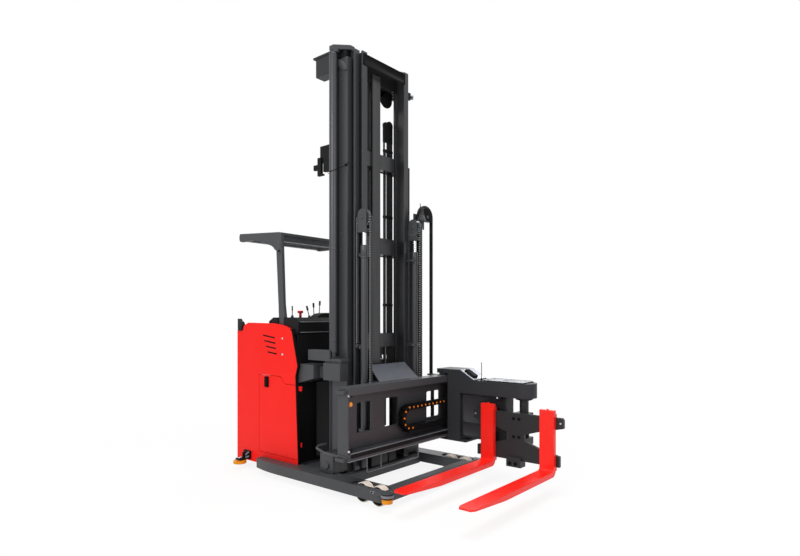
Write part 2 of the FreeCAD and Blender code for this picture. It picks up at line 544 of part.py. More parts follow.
def overhead_guard():
    left = guard_side()
    reach = GUARD_HALF - 5
    front = box(GUARD_FRONT_X - 70, GUARD_FRONT_X - 4, -reach, reach, GUARD_TOP_Z - 30, GUARD_TOP_Z - 4)
    beam = box(GUARD_FRONT_X - 62, GUARD_FRONT_X - 12, -reach, reach, GUARD_TOP_Z - 80, GUARD_TOP_Z - 29)
    rear = box(GUARD_REAR_X + 4, GUARD_REAR_X + 60, -reach, reach, GUARD_TOP_Z - 30, GUARD_TOP_Z + 22)
    bars = []
    span = 2 * (GUARD_HALF - PILLAR_T)
    for number in range(1, 8):
        y = -GUARD_HALF + PILLAR_T + span * number / 8
        bars.append(side_plate([(GUARD_REAR_X + 30, GUARD_TOP_Z - 18), (GUARD_REAR_X + 30, GUARD_TOP_Z + 20),
                                (GUARD_FRONT_X - 40, GUARD_TOP_Z - 6), (GUARD_FRONT_X - 40, GUARD_TOP_Z - 44)],
                               y - GUARD_PLATE_T / 2, y + GUARD_PLATE_T / 2))
    return fuse(left, mirrored(left), front, beam, rear, *bars)


save("overhead_guard", overhead_guard())


# ---- mast ------------------------------------------------------------------
mast_roller_r = RAIL_DEPTH / 2 - RAIL_FLANGE_T - SEAT


def rail(stage, z0, z1, rear_z0):
    """Left rail of a stage: 0 inner, 1 middle, 2 outer.  The outer one is a channel."""
    front = INNER_FRONT_X - stage * STAGE_DX
    out = INNER_OUT_Y + stage * STAGE_DY
    setback = 0 if stage == 2 else WEB_SETBACK
    web = box(front - RAIL_DEPTH, front, out - setback - RAIL_WEB_T, out - setback, z0, z1)
    flanges = [box(x, x - RAIL_FLANGE_T, out - RAIL_FLANGE_W, out, low, z1)
               for x, low in ((front, z0), (front - RAIL_DEPTH + RAIL_FLANGE_T, rear_z0))]
    return fuse(web, *flanges)


def stage_rear(stage):
    return INNER_FRONT_X - stage * STAGE_DX - RAIL_DEPTH


def stage_in(stage):
    return INNER_OUT_Y + stage * STAGE_DY - RAIL_FLANGE_W


def crossbar(stage, z0, z1):
    """Bar behind the rails of a stage."""
    reach = stage_in(stage) + 30
    return box(stage_rear(stage) - BAR_T, stage_rear(stage), -reach, reach, z0, z1)


def stage_roller(stage, z):
    """Left roller on a stage's web, running in the channel of the next stage out."""
    web_out = INNER_OUT_Y + stage * STAGE_DY - WEB_SETBACK
    next_web = INNER_OUT_Y + (stage + 1) * STAGE_DY - (0 if stage == 1 else WEB_SETBACK) - RAIL_WEB_T
    x = INNER_FRONT_X - (stage + 1) * STAGE_DX - RAIL_DEPTH / 2
    return rod(x, web_out - 1, z, Y_AXIS, mast_roller_r, next_web - 4.5 - web_out + 1)


carriage_out = stage_in(0) - 8
carriage_in = carriage_out - CARRIAGE_PLATE_T


BRACKET_OUT, STUB_Y0, STUB_Y1 = 490.0, 363.0, 514.0
STUB_FRONT_X = COVER_FRONT_X + 193
STUB_Z0, STUB_FRONT_Z0, STUB_Z1 = 835.0, 884.0, 998.0     # the stub's underside rises to the front
BLOCK_Z0, BLOCK_Z1 = 878.0, 1020.0
TUBE_Z = BLOCK_Z1 + 17                # underside of the square tube over the bracket's block
FLANGE_T = 20.0
TUBE_TOP_Z = 1126.0
LOWER_POST = 80.0                    # depth of the plates behind the outer rails, under the brackets


def outer_mast():
    left = rail(2, OUTER_BOTTOM_Z, OUTER_TOP_Z, OUTER_BOTTOM_Z)
    out = INNER_OUT_Y + 2 * STAGE_DY
    rear = stage_rear(2)
    bars = [box(rear - 28, rear, -out, out, z0, z1)
            for z0, z1 in ((LEG_TOP + 10, 330), BAR_ZS[1], (TOP_BAR_Z, OUTER_TOP_Z - 20))]
    foot = box(rear - 25, rear + 125, out, half_base - 90, LEG_TOP + SEAT, 290)
    cap = rod(rear + 50, half_base - 90, 198, Y_AXIS, 30, 12)
    post = fuse(box(rear - LOWER_POST, rear + 1, out - 14, out, LEG_TOP + 10, BLOCK_Z0 - SEAT),
                box(rear - LOWER_POST, rear - LOWER_POST + 12, out - 14, out + 11, LEG_TOP + 10, BLOCK_Z0 - SEAT))
    frame = fuse(left, mirrored(left), foot, mirrored(foot), cap, mirrored(cap), post, mirrored(post), *bars)
    sill = box(SILL_REAR_X, SILL_FRONT_X, -leg_in, leg_in, SILL_BOTTOM, LEG_TOP - 20 + SEAT)
    return frame.cut(sill)


save("outer_mast", outer_mast())

flag_y = -INNER_OUT_Y - 2 * STAGE_DY + 10
flag_rear = stage_rear(2) - SEAT
FLAG_Z0, FLAG_Z1, FLAG_REACH = 2730.0, 2877.0, 219.0
flag = box(flag_rear - FLAG_REACH, flag_rear, flag_y, flag_y + 12, FLAG_Z0, FLAG_Z1)
flag = fuse(flag, box(flag_rear - 14, flag_rear, flag_y, flag_y + 60, FLAG_Z0, FLAG_Z1))
sensor = [box(flag_rear + x0, flag_rear + x1, flag_y - 14, flag_y + 12, FLAG_Z0 + z0, FLAG_Z0 + z1)
          for x0, x1, z0, z1 in ((-239, -196, -108, 48), (-289, -239, -52, -9), (-196, -174, -108, -94),
                                 (-165, -91, -82, 5))]
save("mast_sensor", fuse(flag, *sensor))


def lift_cylinder():
    """Left rear lift cylinder tube with its foot plate and two collars."""
    foot = rod(CYL_X, CYL_Y, CYL_FOOT_Z, Z_AXIS, CYL_R - 8, 40)
    tube = rod(CYL_X, CYL_Y, CYL_FOOT_Z + 32, Z_AXIS, CYL_R, CYL_TOP_Z - CYL_FOOT_Z - 32)
    collars = [rod(CYL_X, CYL_Y, z, Z_AXIS, CYL_R + 2, 12) for z in (CYL_FOOT_Z + 130, 1961, CYL_TOP_Z - 14)]
    tube = fuse(foot, tube, *collars)
    return tube.cut(rod(CYL_X, CYL_Y, CYL_FOOT_Z + 40, Z_AXIS, ROD_R + FIT, CYL_TOP_Z))


save("lift_cylinders", both_sides(lift_cylinder()))


def mast_brackets():
    """Stubs on the body's front, and the blocks that hold the mast and the cylinders' feet."""
    out = INNER_OUT_Y + 2 * STAGE_DY + SEAT
    stub = side_plate([(COVER_FRONT_X + SEAT, STUB_Z0), (STUB_FRONT_X, STUB_FRONT_Z0), (STUB_FRONT_X, STUB_Z1),
                       (COVER_FRONT_X + SEAT, STUB_Z1)], STUB_Y0, STUB_Y1)
    neck = box(STUB_FRONT_X - 10, CYL_X - 50, out + 6, BRACKET_OUT - 50, BLOCK_Z0 + 12, STUB_Z1 - 14)
    block = box(CYL_X - 62, CYL_X + 137, out, BRACKET_OUT, BLOCK_Z0, BLOCK_Z1)
    spacer = box(CYL_X - 62, CYL_X + 132, out, BRACKET_OUT - 20, BLOCK_Z1 - 1, TUBE_Z + 1)
    flange = box(CYL_X - 62, CYL_X + 144, out, BRACKET_OUT - 6, TUBE_Z, TUBE_Z + FLANGE_T)
    tube = box(COVER_FRONT_X + 97, CYL_X + 15, out + 26, BRACKET_OUT, TUBE_Z, TUBE_TOP_Z)
    tube = tube.cut(rod(CYL_X, CYL_Y, TUBE_Z + FLANGE_T, Z_AXIS, CYL_R + 8, 200))
    foot = box(CYL_X - 36, CYL_X + 36, out, CYL_Y + 36, TUBE_Z + FLANGE_T - 1, CYL_FOOT_Z - SEAT)
    left = fuse(stub, neck, block, spacer, flange, tube, foot)
    return both_sides(left)


save("mast_brackets", mast_brackets())


cap_under = CAP_TOP_Z - CAP_T
cap_in = INNER_OUT_Y + MOVE


def mast_cap(front_x):
    """Left cap plate over a cylinder, with the block that the rod pushes."""
    plate = fuse(box(CAP_REAR_X, front_x, cap_in, CAP_OUT_Y, cap_under, CAP_TOP_Z),
                 box(CAP_REAR_X, CAP_FRONT_X, cap_in, INNER_OUT_Y + STAGE_DY, cap_under, CAP_TOP_Z))
    block = box(CAP_REAR_X + 6, CAP_REAR_X + 75, CYL_Y - 24, CAP_OUT_Y - 4, cap_under - CAP_BLOCK_H, cap_under + 1)
    corner = plan_plate([(CAP_FRONT_X - CAP_CORNER, CAP_OUT_Y + 1), (CAP_FRONT_X + 1, CAP_OUT_Y + 1),
                         (CAP_FRONT_X + 1, CAP_OUT_Y - CAP_CORNER)], cap_under - 40, CAP_TOP_Z + 1)
    return fuse(plate, block).cut(corner)


def mid_mast():
    left = rail(1, MID_BOTTOM_Z, MID_TOP_Z, MID_ROLLER_Z + mast_roller_r + MOVE)
    left = fuse(left, stage_roller(1, MID_ROLLER_Z))
    bars = [crossbar(1, z0, z1) for z0, z1 in (LOW_BAR_ZS, *BAR_ZS, (TOP_BAR_Z, MID_TOP_Z))]
    return fuse(left, mirrored(left), mast_cap(CAP_REAR_X + 75), mirrored(mast_cap(CAP_FRONT_X)), *bars)


save("mid_mast", mid_mast())
save("lift_rods", both_sides(rod(CYL_X, CYL_Y, CYL_FOOT_Z + 60, Z_AXIS, ROD_R,
                                 cap_under - CAP_BLOCK_H - SEAT - CYL_FOOT_Z - 60)))

shelf = box(SHELF_REAR_X, CAP_REAR_X - SEAT, SHELF_Y0, SHELF_Y1, CAP_TOP_Z - 22, CAP_TOP_Z - 6)
shelf_box = box(SHELF_REAR_X + 30, stage_rear(2) - 60, SHELF_Y0 + 6, SHELF_Y1 - 7, CAP_TOP_Z - 184, CAP_TOP_Z - 21)
save("mast_shelf", fuse(shelf, shelf_box))


def mid_hoses():
    """Hoses up the middle stage to the flat block with the two turning wheels."""
    x = stage_rear(1) + SEAT + HOSE_R
    rear, thick = x - HOSE_R, 2 * HOSE_R - 2
    joint_top = HOSE_JOINT_Z + HOSE_JOINT_H + SEAT
    pieces = [rod(x, y, joint_top, Z_AXIS, HOSE_R, MAST_HOSE_Z1 - joint_top) for y in MAST_HOSE_Y]
    pieces += [rod(x, y, LOW_HOSE_Z0, Z_AXIS, HOSE_R, HOSE_JOINT_Z - SEAT - LOW_HOSE_Z0) for y in MAST_HOSE_Y[-2:]]
    pieces.append(box(rear, rear + thick, MAST_HOSE_Y[0] - HOSE_R, MAST_HOSE_Y[-1] + HOSE_R,
                      HOSE_JOINT_Z, HOSE_JOINT_Z + HOSE_JOINT_H))
    block = box(rear, rear + thick, MAST_HOSE_Y[0] - HOSE_R, MAST_HOSE_Y[-1] + HOSE_R, MAST_HOSE_Z1 + SEAT, MAST_HOSE_Z1 + 140)
    wheels = [rod(rear, y, MAST_HOSE_Z1 + z, X_AXIS, r, thick)
              for y, z, r in ((MAST_HOSE_Y[0] + 22, 150, 34), (MAST_HOSE_Y[2] + 8, 160, 42))]
    return Part.makeCompound(pieces + [fuse(block, *wheels)])


save("mid_hoses", mid_hoses())


def inner_mast():
    left = rail(0, INNER_BOTTOM_Z, INNER_TOP_Z, INNER_ROLLER_Z + mast_roller_r + MOVE)
    left = fuse(left, stage_roller(0, INNER_ROLLER_Z))
    rear = stage_rear(0)
    bars = []
    for z0, z1 in (LOW_BAR_ZS, *BAR_ZS, (TOP_BAR_Z, INNER_TOP_Z)):
        bars += [crossbar(0, z0, z1), box(rear - 1, rear + 35, -carriage_in + 11, carriage_in - 11, z0, z1)]
    spine = box(rear + 20, rear + 50, -100, 0, LOW_BAR_ZS[0], TOP_BAR_Z + 60)
    guard = box(rear + 5, rear + 15, -200, -95, LOW_BAR_ZS[0], TOP_BAR_Z + 60)
    return fuse(left, mirrored(left), spine, guard, *bars)


save("inner_mast", inner_mast())


def freelift_clamps(hose_side):
    """Left rests and clamps of the free lift cylinder, with the chain's anchor."""
    pieces = []
    for z in (FREE_BOTTOM_Z - CLAMP_H - SEAT, *CLAMP_ZS):
        out = PULLEY_Y - PULLEY_R + 13 if hose_side and z == CLAMP_ZS[0] else FREE_Y + 14
        lug = box(INNER_FRONT_X + SEAT, FREE_X + 20, FREE_Y - FREE_R - 30, out, z, z + CLAMP_H)
        if z > FREE_BOTTOM_Z:
            lug = lug.cut(rod(FREE_X, FREE_Y, z - 1, Z_AXIS, FREE_R + SEAT, 40))
        pieces.append(lug)
    chain_x = FREE_X - SHEAVE_R
    pieces.append(box(chain_x - 12, chain_x + 12, INNER_OUT_Y + SEAT, FREE_Y + CHAIN_W / 2 + 4,
                      CHAIN_ANCHOR_Z - 30, CHAIN_ANCHOR_Z - SEAT))
    return Part.makeCompound(pieces)


save("freelift_clamps", Part.makeCompound([freelift_clamps(True), mirrored(freelift_clamps(False))]))

free_tube = rod(FREE_X, FREE_Y, FREE_BOTTOM_Z, Z_AXIS, FREE_R, FREE_TOP_Z - FREE_BOTTOM_Z)
free_tube = free_tube.cut(rod(FREE_X, FREE_Y, FREE_BOTTOM_Z + 30, Z_AXIS, FREE_ROD_R + FIT, FREE_TOP_Z))
save("freelift_cylinders", both_sides(free_tube))


head_foot_z = SHEAVE_Z - SHEAVE_R - 44
free_ram = rod(FREE_X, FREE_Y, FREE_BOTTOM_Z + 50, Z_AXIS, FREE_ROD_R, head_foot_z + 20 - SEAT - FREE_BOTTOM_Z - 50)
save("freelift_rods", both_sides(free_ram))


def freelift_head(pulley_side):
    """Left fork-shaped holder with the chain sheave, and on one side the hoses' pulley."""
    top_z = SHEAVE_Z + 24
    block = box(FREE_X - HEAD_CHEEK, FREE_X + HEAD_CHEEK, FREE_Y - 30, FREE_Y + 30, head_foot_z, SHEAVE_Z - SHEAVE_R - 14)
    block = block.cut(rod(FREE_X, FREE_Y, head_foot_z - 1, Z_AXIS, FREE_ROD_R + FIT, 21))
    pieces = []
    for dy in (-30, 22):
        plate = box(FREE_X - HEAD_CHEEK, FREE_X + HEAD_CHEEK, FREE_Y + dy, FREE_Y + dy + 8, head_foot_z, top_z)
        pieces += [plate, rod(FREE_X, FREE_Y + dy, top_z, Y_AXIS, HEAD_CHEEK, 8)]
    pieces.append(rod(FREE_X, FREE_Y - 36, SHEAVE_Z, Y_AXIS, 15, 72))
    pieces.append(rod(FREE_X, FREE_Y - SHEAVE_T / 2, SHEAVE_Z, Y_AXIS, SHEAVE_R - CHAIN_T / 2 - SEAT, SHEAVE_T))
    if pulley_side:
        inner = PULLEY_R - HOSE_R - SEAT
        disc = rod(FREE_X - 22, PULLEY_Y, PULLEY_Z, X_AXIS, inner, 44)
        disc = disc.cut(box(FREE_X - 30, FREE_X + 30, PULLEY_Y - PULLEY_R, PULLEY_Y + PULLEY_R,
                            PULLEY_Z - PULLEY_R, PULLEY_Z - PULLEY_DROP))
        arm = box(FREE_X - 34, FREE_X - 23, FREE_Y + 22, PULLEY_Y + 20, top_z - 20, PULLEY_Z + 20)
        pieces += [disc, arm, rod(FREE_X - 34, PULLEY_Y, PULLEY_Z, X_AXIS, 14, 70)]
    return fuse(block, *pieces)


save("freelift_heads", Part.makeCompound([freelift_head(True), mirrored(freelift_head(False))]))


chain_out, chain_in = SHEAVE_R + CHAIN_T / 2, SHEAVE_R - CHAIN_T / 2


def chain_rear():
    """Left chain's rear fall, from its anchor on the inner mast up to the sheave."""
    return box(FREE_X - chain_out, FREE_X - chain_in, FREE_Y - CHAIN_W / 2, FREE_Y + CHAIN_W / 2,
               CHAIN_ANCHOR_Z, SHEAVE_Z - SEAT)


def chain_front():
    """Left chain over the sheave and down to the carriage."""
    arch = rod(FREE_X, FREE_Y - CHAIN_W / 2, SHEAVE_Z, Y_AXIS, chain_out, CHAIN_W)
    arch = arch.cut(rod(FREE_X, FREE_Y - CHAIN_W, SHEAVE_Z, Y_AXIS, chain_in, 2 * CHAIN_W))
    arch = arch.cut(box(FREE_X - 100, FREE_X + 100, FREE_Y - 50, FREE_Y + 50, SHEAVE_Z - 100, SHEAVE_Z))
    fall = box(FREE_X + chain_in, FREE_X + chain_out, FREE_Y - CHAIN_W / 2, FREE_Y + CHAIN_W / 2,
               CHAIN_CARRIAGE_Z, SHEAVE_Z)
    return fuse(arch, fall)


save("chain_rear_falls", both_sides(chain_rear()))
save("chain_front_falls", both_sides(chain_front()))

hose_xs = (FREE_X - HOSE_R - SEAT, FREE_X + HOSE_R + SEAT)
hose_low_z = CLAMP_ZS[0] + CLAMP_H + SEAT


def hose_bend(x):
    """Half turn of one hose over the pulley."""
    ring = Part.makeTorus(PULLEY_R, HOSE_R, V(x, PULLEY_Y, PULLEY_Z), X_AXIS)
    return ring.cut(box(x - 50, x + 50, PULLEY_Y - 200, PULLEY_Y + 200, PULLEY_Z - 200, PULLEY_Z))


rear_hoses = [rod(x, PULLEY_Y - PULLEY_R, hose_low_z, Z_AXIS, HOSE_R, PULLEY_Z - SEAT - hose_low_z) for x in hose_xs]
front_hoses = [fuse(hose_bend(x), rod(x, PULLEY_Y + PULLEY_R, FRAME_TOP_Z + SEAT, Z_AXIS, HOSE_R,
                                      PULLEY_Z - FRAME_TOP_Z - SEAT)) for x in hose_xs]
save("hose_rear_fall", Part.makeCompound(rear_hoses))
save("hose_front_fall", Part.makeCompound(front_hoses))


# ---- carriage and traverse frame -------------------------------------------
frame_rear = FRAME_FRONT_X - FRAME_DEPTH


GUARD_ROD_YS = (-388.0, -219.0, 276.0)


def lift_carriage():
    """Two roller plates inside the inner rails, tied by cross bars and carrying the chains."""
    pieces = []
    roller_x = INNER_FRONT_X - RAIL_DEPTH / 2
    for side in SIDES:
        plate = box(roller_x - 20, frame_rear, side * carriage_in, side * carriage_out, FRAME_BOTTOM_Z + 5, FRAME_TOP_Z)
        pieces.append(plate)
        for z in (FRAME_BOTTOM_Z + 70, FRAME_TOP_Z - 70):
            start = carriage_out - 5 if side > 0 else -(stage_in(0) + 14)
            pieces.append(rod(roller_x, start, z, Y_AXIS, mast_roller_r, stage_in(0) + 14 - carriage_out + 5))
        anchor = box(FREE_X + SHEAVE_R - 14, frame_rear, side * carriage_out, side * (FREE_Y + 16),
                     CHAIN_CARRIAGE_Z - 40, CHAIN_CARRIAGE_Z - SEAT)
        pieces.append(anchor)
    ties = [box(frame_rear - 26, frame_rear, -carriage_out, carriage_out, z0, z1)
            for z0, z1 in ((FRAME_BOTTOM_Z + 5, FRAME_BOTTOM_Z + 90), (FRAME_TOP_Z - 90, FRAME_TOP_Z))]
    guard_x = frame_rear - 7
    low = FRAME_BOTTOM_Z - 158
    rods = [rod(guard_x, GUARD_ROD_YS[0], low, Y_AXIS, 5, GUARD_ROD_YS[-1] - GUARD_ROD_YS[0])]
    rods += [rod(guard_x, y, low, Z_AXIS, 5, FRAME_BOTTOM_Z + 12 - low) for y in GUARD_ROD_YS]
    rods.append(box(guard_x - 5, guard_x + 5, GUARD_ROD_YS[0] - 5, GUARD_ROD_YS[-1] + 5, FRAME_BOTTOM_Z + 6, FRAME_BOTTOM_Z + 18))
    return fuse(ties[0], ties[1], *(pieces + rods))


save("lift_carriage", lift_carriage())


def traverse_frame():
    """Wide frame with a rail above and below, a windowed back plate and end plates."""
    x0, x1 = frame_rear + SEAT, FRAME_FRONT_X
    top = box(x0, x1, -FRAME_HALF, FRAME_HALF, FRAME_TOP_Z - FRAME_RAIL_H, FRAME_TOP_Z)
    bottom = box(x0, x1, -FRAME_HALF, FRAME_HALF, FRAME_BOTTOM_Z, FRAME_BOTTOM_Z + FRAME_RAIL_H)
    back = box(x0, x0 + FRAME_PLATE_T, -FRAME_HALF, FRAME_HALF, FRAME_BOTTOM_Z, FRAME_TOP_Z)
    for y0, y1 in WINDOW_YS:
        window = box(x0 - 1, x0 + FRAME_PLATE_T + 1, y0, y1, FRAME_BOTTOM_Z + 181, FRAME_TOP_Z - 141)
        back = back.cut(round_edges(window, 20, lambda e: is_along(e, X_AXIS)))
    ends = [box(x0, x1 - 12, side * (FRAME_HALF - FRAME_PLATE_T), side * FRAME_HALF, FRAME_BOTTOM_Z, FRAME_TOP_Z)
            for side in SIDES]
    straps = []
    out = FRAME_HALF + STRAP_OUT
    for side in SIDES:
        for z in (FRAME_BOTTOM_Z + 4, FRAME_TOP_Z - STRAP_H - 22):
            straps.append(box(x0 + 10, x1 - 20, side * (out - STRAP_T), side * out, z, z + STRAP_H))
            for x in (x0 + 10, x1 - 20 - STRAP_T):
                straps.append(box(x, x + STRAP_T, side * FRAME_HALF, side * out, z, z + STRAP_H))
    hose_y = PULLEY_Y + PULLEY_R
    hose_rest = box(FREE_X - 28, x0 + 1, hose_y - 24, hose_y + 24, FRAME_TOP_Z - 14, FRAME_TOP_Z)
    return fuse(top, bottom, back, hose_rest, *(ends + straps))


save("traverse_frame", traverse_frame())

tilt_low, tilt_high = (frame_rear + 2, FRAME_TOP_Z + SEAT), (frame_rear - 135, FRAME_TOP_Z + 128)
SIGN_T, SIGN_LOW, SIGN_HIGH = 8.0, 255.0, 232.0
sign_corners = [(tilt_low, -SIGN_LOW), (tilt_low, SIGN_LOW), (tilt_high, SIGN_HIGH), (tilt_high, -SIGN_HIGH), (tilt_low, -SIGN_LOW)]
name_plate = Part.Face(Part.makePolygon([V(at[0], y, at[1]) for at, y in sign_corners])).extrude(V(SIGN_T, 0, 0))
save("sign_plate", name_plate)


LOOP_Y, LOOP_Z, LOOP_OUT, LOOP_IN = 50.0, 547.0, 110.0, 66.0


def energy_chain():
    """Cable carrier lying in the frame: upper run, half turn, lower run."""
    x0, x1 = FRAME_FRONT_X - 82, FRAME_FRONT_X - 20
    run_end, turn_y, z_mid, r_out, r_in = HEAD_Y - HEAD_HALF - 20, LOOP_Y, LOOP_Z, LOOP_OUT, LOOP_IN
    outer = rod(x0, turn_y, z_mid, X_AXIS, r_out, x1 - x0).cut(rod(x0, turn_y, z_mid, X_AXIS, r_in, x1 - x0))
    half = outer.cut(box(x0 - 1, x1 + 1, turn_y, turn_y + 200, z_mid - 200, z_mid + 200))
    upper = box(x0, x1, turn_y, run_end, z_mid + r_in, z_mid + r_out)
    lower = box(x0, x1, turn_y, run_end, z_mid - r_out, z_mid - r_in)
    tray = box(frame_rear + FRAME_PLATE_T + SEAT * 2, x1, turn_y - 20, run_end, z_mid - r_out - 8, z_mid - r_out - SEAT)
    return Part.makeCompound([fuse(half, upper, lower), tray])


save("energy_chain", energy_chain())


# ---- turret head, fork plate, forks ----------------------------------------
def turret_head():
    """Post on the traverse frame, arm over the swivel axis and the box under the arm."""
    y0, y1 = HEAD_Y - HEAD_HALF, HEAD_Y + HEAD_HALF
    post_rear = FRAME_FRONT_X + MOVE
    upper = side_plate([(post_rear, FRAME_BOTTOM_Z - 14), (POST_FRONT_X, FRAME_BOTTOM_Z - 14), (POST_FRONT_X, ARM_BOTTOM_Z),
                        (SWIVEL_X, ARM_BOTTOM_Z), (SWIVEL_X, ARM_TOP_Z), (SLOPE_X1, ARM_TOP_Z), (SLOPE_X0, HEAD_TOP_Z),
                        (post_rear, HEAD_TOP_Z)], y0, y1)
    nose = rod(SWIVEL_X, HEAD_Y, ARM_BOTTOM_Z, Z_AXIS, HEAD_HALF, ARM_TOP_Z - ARM_BOTTOM_Z)
    lip = rod(SWIVEL_X, HEAD_Y, ARM_BOTTOM_Z - 16, Z_AXIS, 72, 17)
    hidden_box = box(POST_FRONT_X - 5, BOX_FRONT_X, HEAD_Y - BOX_HALF, HEAD_Y + BOX_HALF, BOX_BOTTOM_Z, ARM_BOTTOM_Z + 1)
    hook = box(frame_rear + 8, post_rear + 5, y0, y1, FRAME_TOP_Z + MOVE + 12, HEAD_TOP_Z)
    shoe = box(frame_rear + 8, -75, y0, y1, FRAME_BOTTOM_Z - 30, FRAME_BOTTOM_Z - 14)
    shoe_pads = [box(frame_rear + 30, FRAME_FRONT_X - 30, y, y + 50, FRAME_BOTTOM_Z - 15, FRAME_BOTTOM_Z - SEAT)
                 for y in (y0 + 4,)]
    hook_pads = [box(frame_rear + 30, FRAME_FRONT_X - 30, y, y + 50, FRAME_TOP_Z + SEAT, FRAME_TOP_Z + MOVE + 13)
                 for y in (y0 + 4,)]
    head = fuse(upper, nose, lip, hidden_box, hook, shoe, *(shoe_pads + hook_pads))
    return head.cut(rod(SWIVEL_X, HEAD_Y, 0, Z_AXIS, SHAFT_R + FIT, ARM_TOP_Z - 12))


save("turret_head", turret_head())

device = side_plate([(SLOPE_X0 + 58, HEAD_TOP_Z - 50), (SLOPE_X1 - 22, ARM_TOP_Z + 5), (SLOPE_X1 - 8, ARM_TOP_Z + 34),
                     (SLOPE_X0 + 74, HEAD_TOP_Z - 14)], HEAD_Y - 96, HEAD_Y - 34)
device = device.cut(parts["turret_head"])
antenna = fuse(rod(SLOPE_X1 + 55, HEAD_Y - 70, ARM_TOP_Z + SEAT, Z_AXIS, 9, 18), rod(SLOPE_X1 + 55, HEAD_Y - 70, ARM_TOP_Z + 10, Z_AXIS, 3, 150))
camera_pod = box(214, 276, HEAD_Y - HEAD_HALF + 1, HEAD_Y - BOX_HALF - 8, ARM_BOTTOM_Z - 24, ARM_BOTTOM_Z - SEAT)
covers = [box(x0, x1, HEAD_Y - HEAD_HALF + 14, HEAD_Y + HEAD_HALF - 14, ARM_TOP_Z + SEAT, ARM_TOP_Z + 8)
          for x0, x1 in ((95, 262), (266, SWIVEL_X + 40))]
save("head_fittings", Part.makeCompound([device, antenna, camera_pod] + covers))


def fork_plate():
    """Swivel shaft with brackets, and the H-shaped plate that carries the forks."""
    y1 = HEAD_Y - PLATE_FACE
    y2 = y1 + PLATE_T
    half = [(PLATE_HALF - 14, PLATE_TOP_Z), (PLATE_HALF, PLATE_TOP_Z - 14), (PLATE_HALF, PLATE_TOP_Z - 81),
            (185, PLATE_TOP_Z - 136), (PLATE_WAIST, PLATE_TOP_Z - 172), (PLATE_WAIST, PLATE_BOTTOM_Z + 169),
            (185, PLATE_BOTTOM_Z + 130), (LOWER_HALF, PLATE_BOTTOM_Z + 85), (LOWER_HALF, PLATE_BOTTOM_Z)]
    outline = half + [(-x, z) for x, z in reversed(half)]
    plate = side_plate([(SWIVEL_X + x, z) for x, z in outline], y1, y2)
    for dx in (-BOLT_DX, BOLT_DX):
        for z in BOLT_ZS:
            plate = plate.cut(rod(SWIVEL_X + dx, y1 - 1, z, Y_AXIS, 8, 12))
    shaft = rod(SWIVEL_X, HEAD_Y, SHAFT_BOTTOM_Z, Z_AXIS, SHAFT_R, ARM_TOP_Z - 30 - SHAFT_BOTTOM_Z)
    blocks = [box(SWIVEL_X - 62, SWIVEL_X + 62, y2 - 5, HEAD_Y + 46, z0, z1)
              for z0, z1 in ((PLATE_TOP_Z - 90, PLATE_TOP_Z - 10), (SHAFT_BOTTOM_Z - 20, SHAFT_BOTTOM_Z + 40))]
    stop = box(SWIVEL_X - 80, SWIVEL_X + 52, y1 - 26, y2 + 30, PLATE_BOTTOM_Z - 53, PLATE_BOTTOM_Z + 23)
    return fuse(plate, shaft, stop, *blocks)


save("fork_plate", fork_plate())


def fork(offset):
    """Forged fork: shank in front of the plate, hooks over its bars, tapered blade."""
    face = HEAD_Y - PLATE_FACE
    front = face - SEAT - FORK_T
    heel_r = 55.0
    z1 = FORK_TOP_Z
    z0 = FORK_TOP_Z - FORK_T
    tip_y = front - FORK_LENGTH
    outline = [(front, SHANK_TOP_Z), (face - SEAT, SHANK_TOP_Z), (face - SEAT, z0 + heel_r)]
    steps = 6
    for step in range(1, steps + 1):
        angle = math.pi / 2 * step / steps
        outline.append((face - SEAT - heel_r * (1 - math.cos(angle)), z0 + heel_r * (1 - math.sin(angle))))
    outline += [(tip_y + 420, z0), (tip_y, z1 - 12), (tip_y, z1)]
    inner_r = heel_r - FORK_T + 8
    for step in range(0, 4):
        angle = math.pi / 2 * step / 3
        outline.append((front - inner_r * (1 - math.sin(angle)), z1 + inner_r * (1 - math.cos(angle))))
    x0 = SWIVEL_X + offset - FORK_W / 2
    body = front_plate(outline, x0, x0 + FORK_W)
    nose = 18.0
    for side, x in ((-1, x0), (1, x0 + FORK_W)):
        corner = plan_plate([(x, tip_y - 1), (x - side * nose, tip_y - 1), (x, tip_y + 2.2 * nose)], z0 - 5, z1 + 5)
        body = body.cut(corner)
    hook_top = box(x0, x0 + FORK_W, face - SEAT - 5, face + PLATE_T * 0.6, PLATE_TOP_Z + SEAT, PLATE_TOP_Z + 30)
    hook_low = box(x0, x0 + FORK_W, face - SEAT - 5, face + PLATE_T * 0.6, PLATE_BOTTOM_Z - 28, PLATE_BOTTOM_Z - SEAT)
    latch = rod(x0 + FORK_W / 2, face + 2, SHANK_TOP_Z - 1, Z_AXIS, 9, 9)
    latch.translate(V(0, -FORK_T / 2, 0))
    return fuse(body, hook_top, hook_low, latch)


save("fork_inner", fork(FORK_INNER))
save("fork_outer", fork(FORK_OUTER))

# ---- export ----------------------------------------------------------------
origin_x = (GUARD_REAR_X + SWIVEL_X + PLATE_HALF) / 2


def main():
    os.makedirs("parts", exist_ok=True)
    for name, shape in parts.items():
        moved = shape.copy()
        moved.translate(V(-origin_x, 0, 0))
        moved.exportStep(os.path.join("parts", name + ".step"))
        print(name, "solids", len(moved.Solids), "valid", moved.isValid(), "volume", round(moved.Volume / 1e6, 2))


main()
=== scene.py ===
"""Looks of the turret truck: painted steel, polyurethane wheels, chrome rods, chains and hoses."""

import math

import bpy
from mathutils import Matrix, Vector


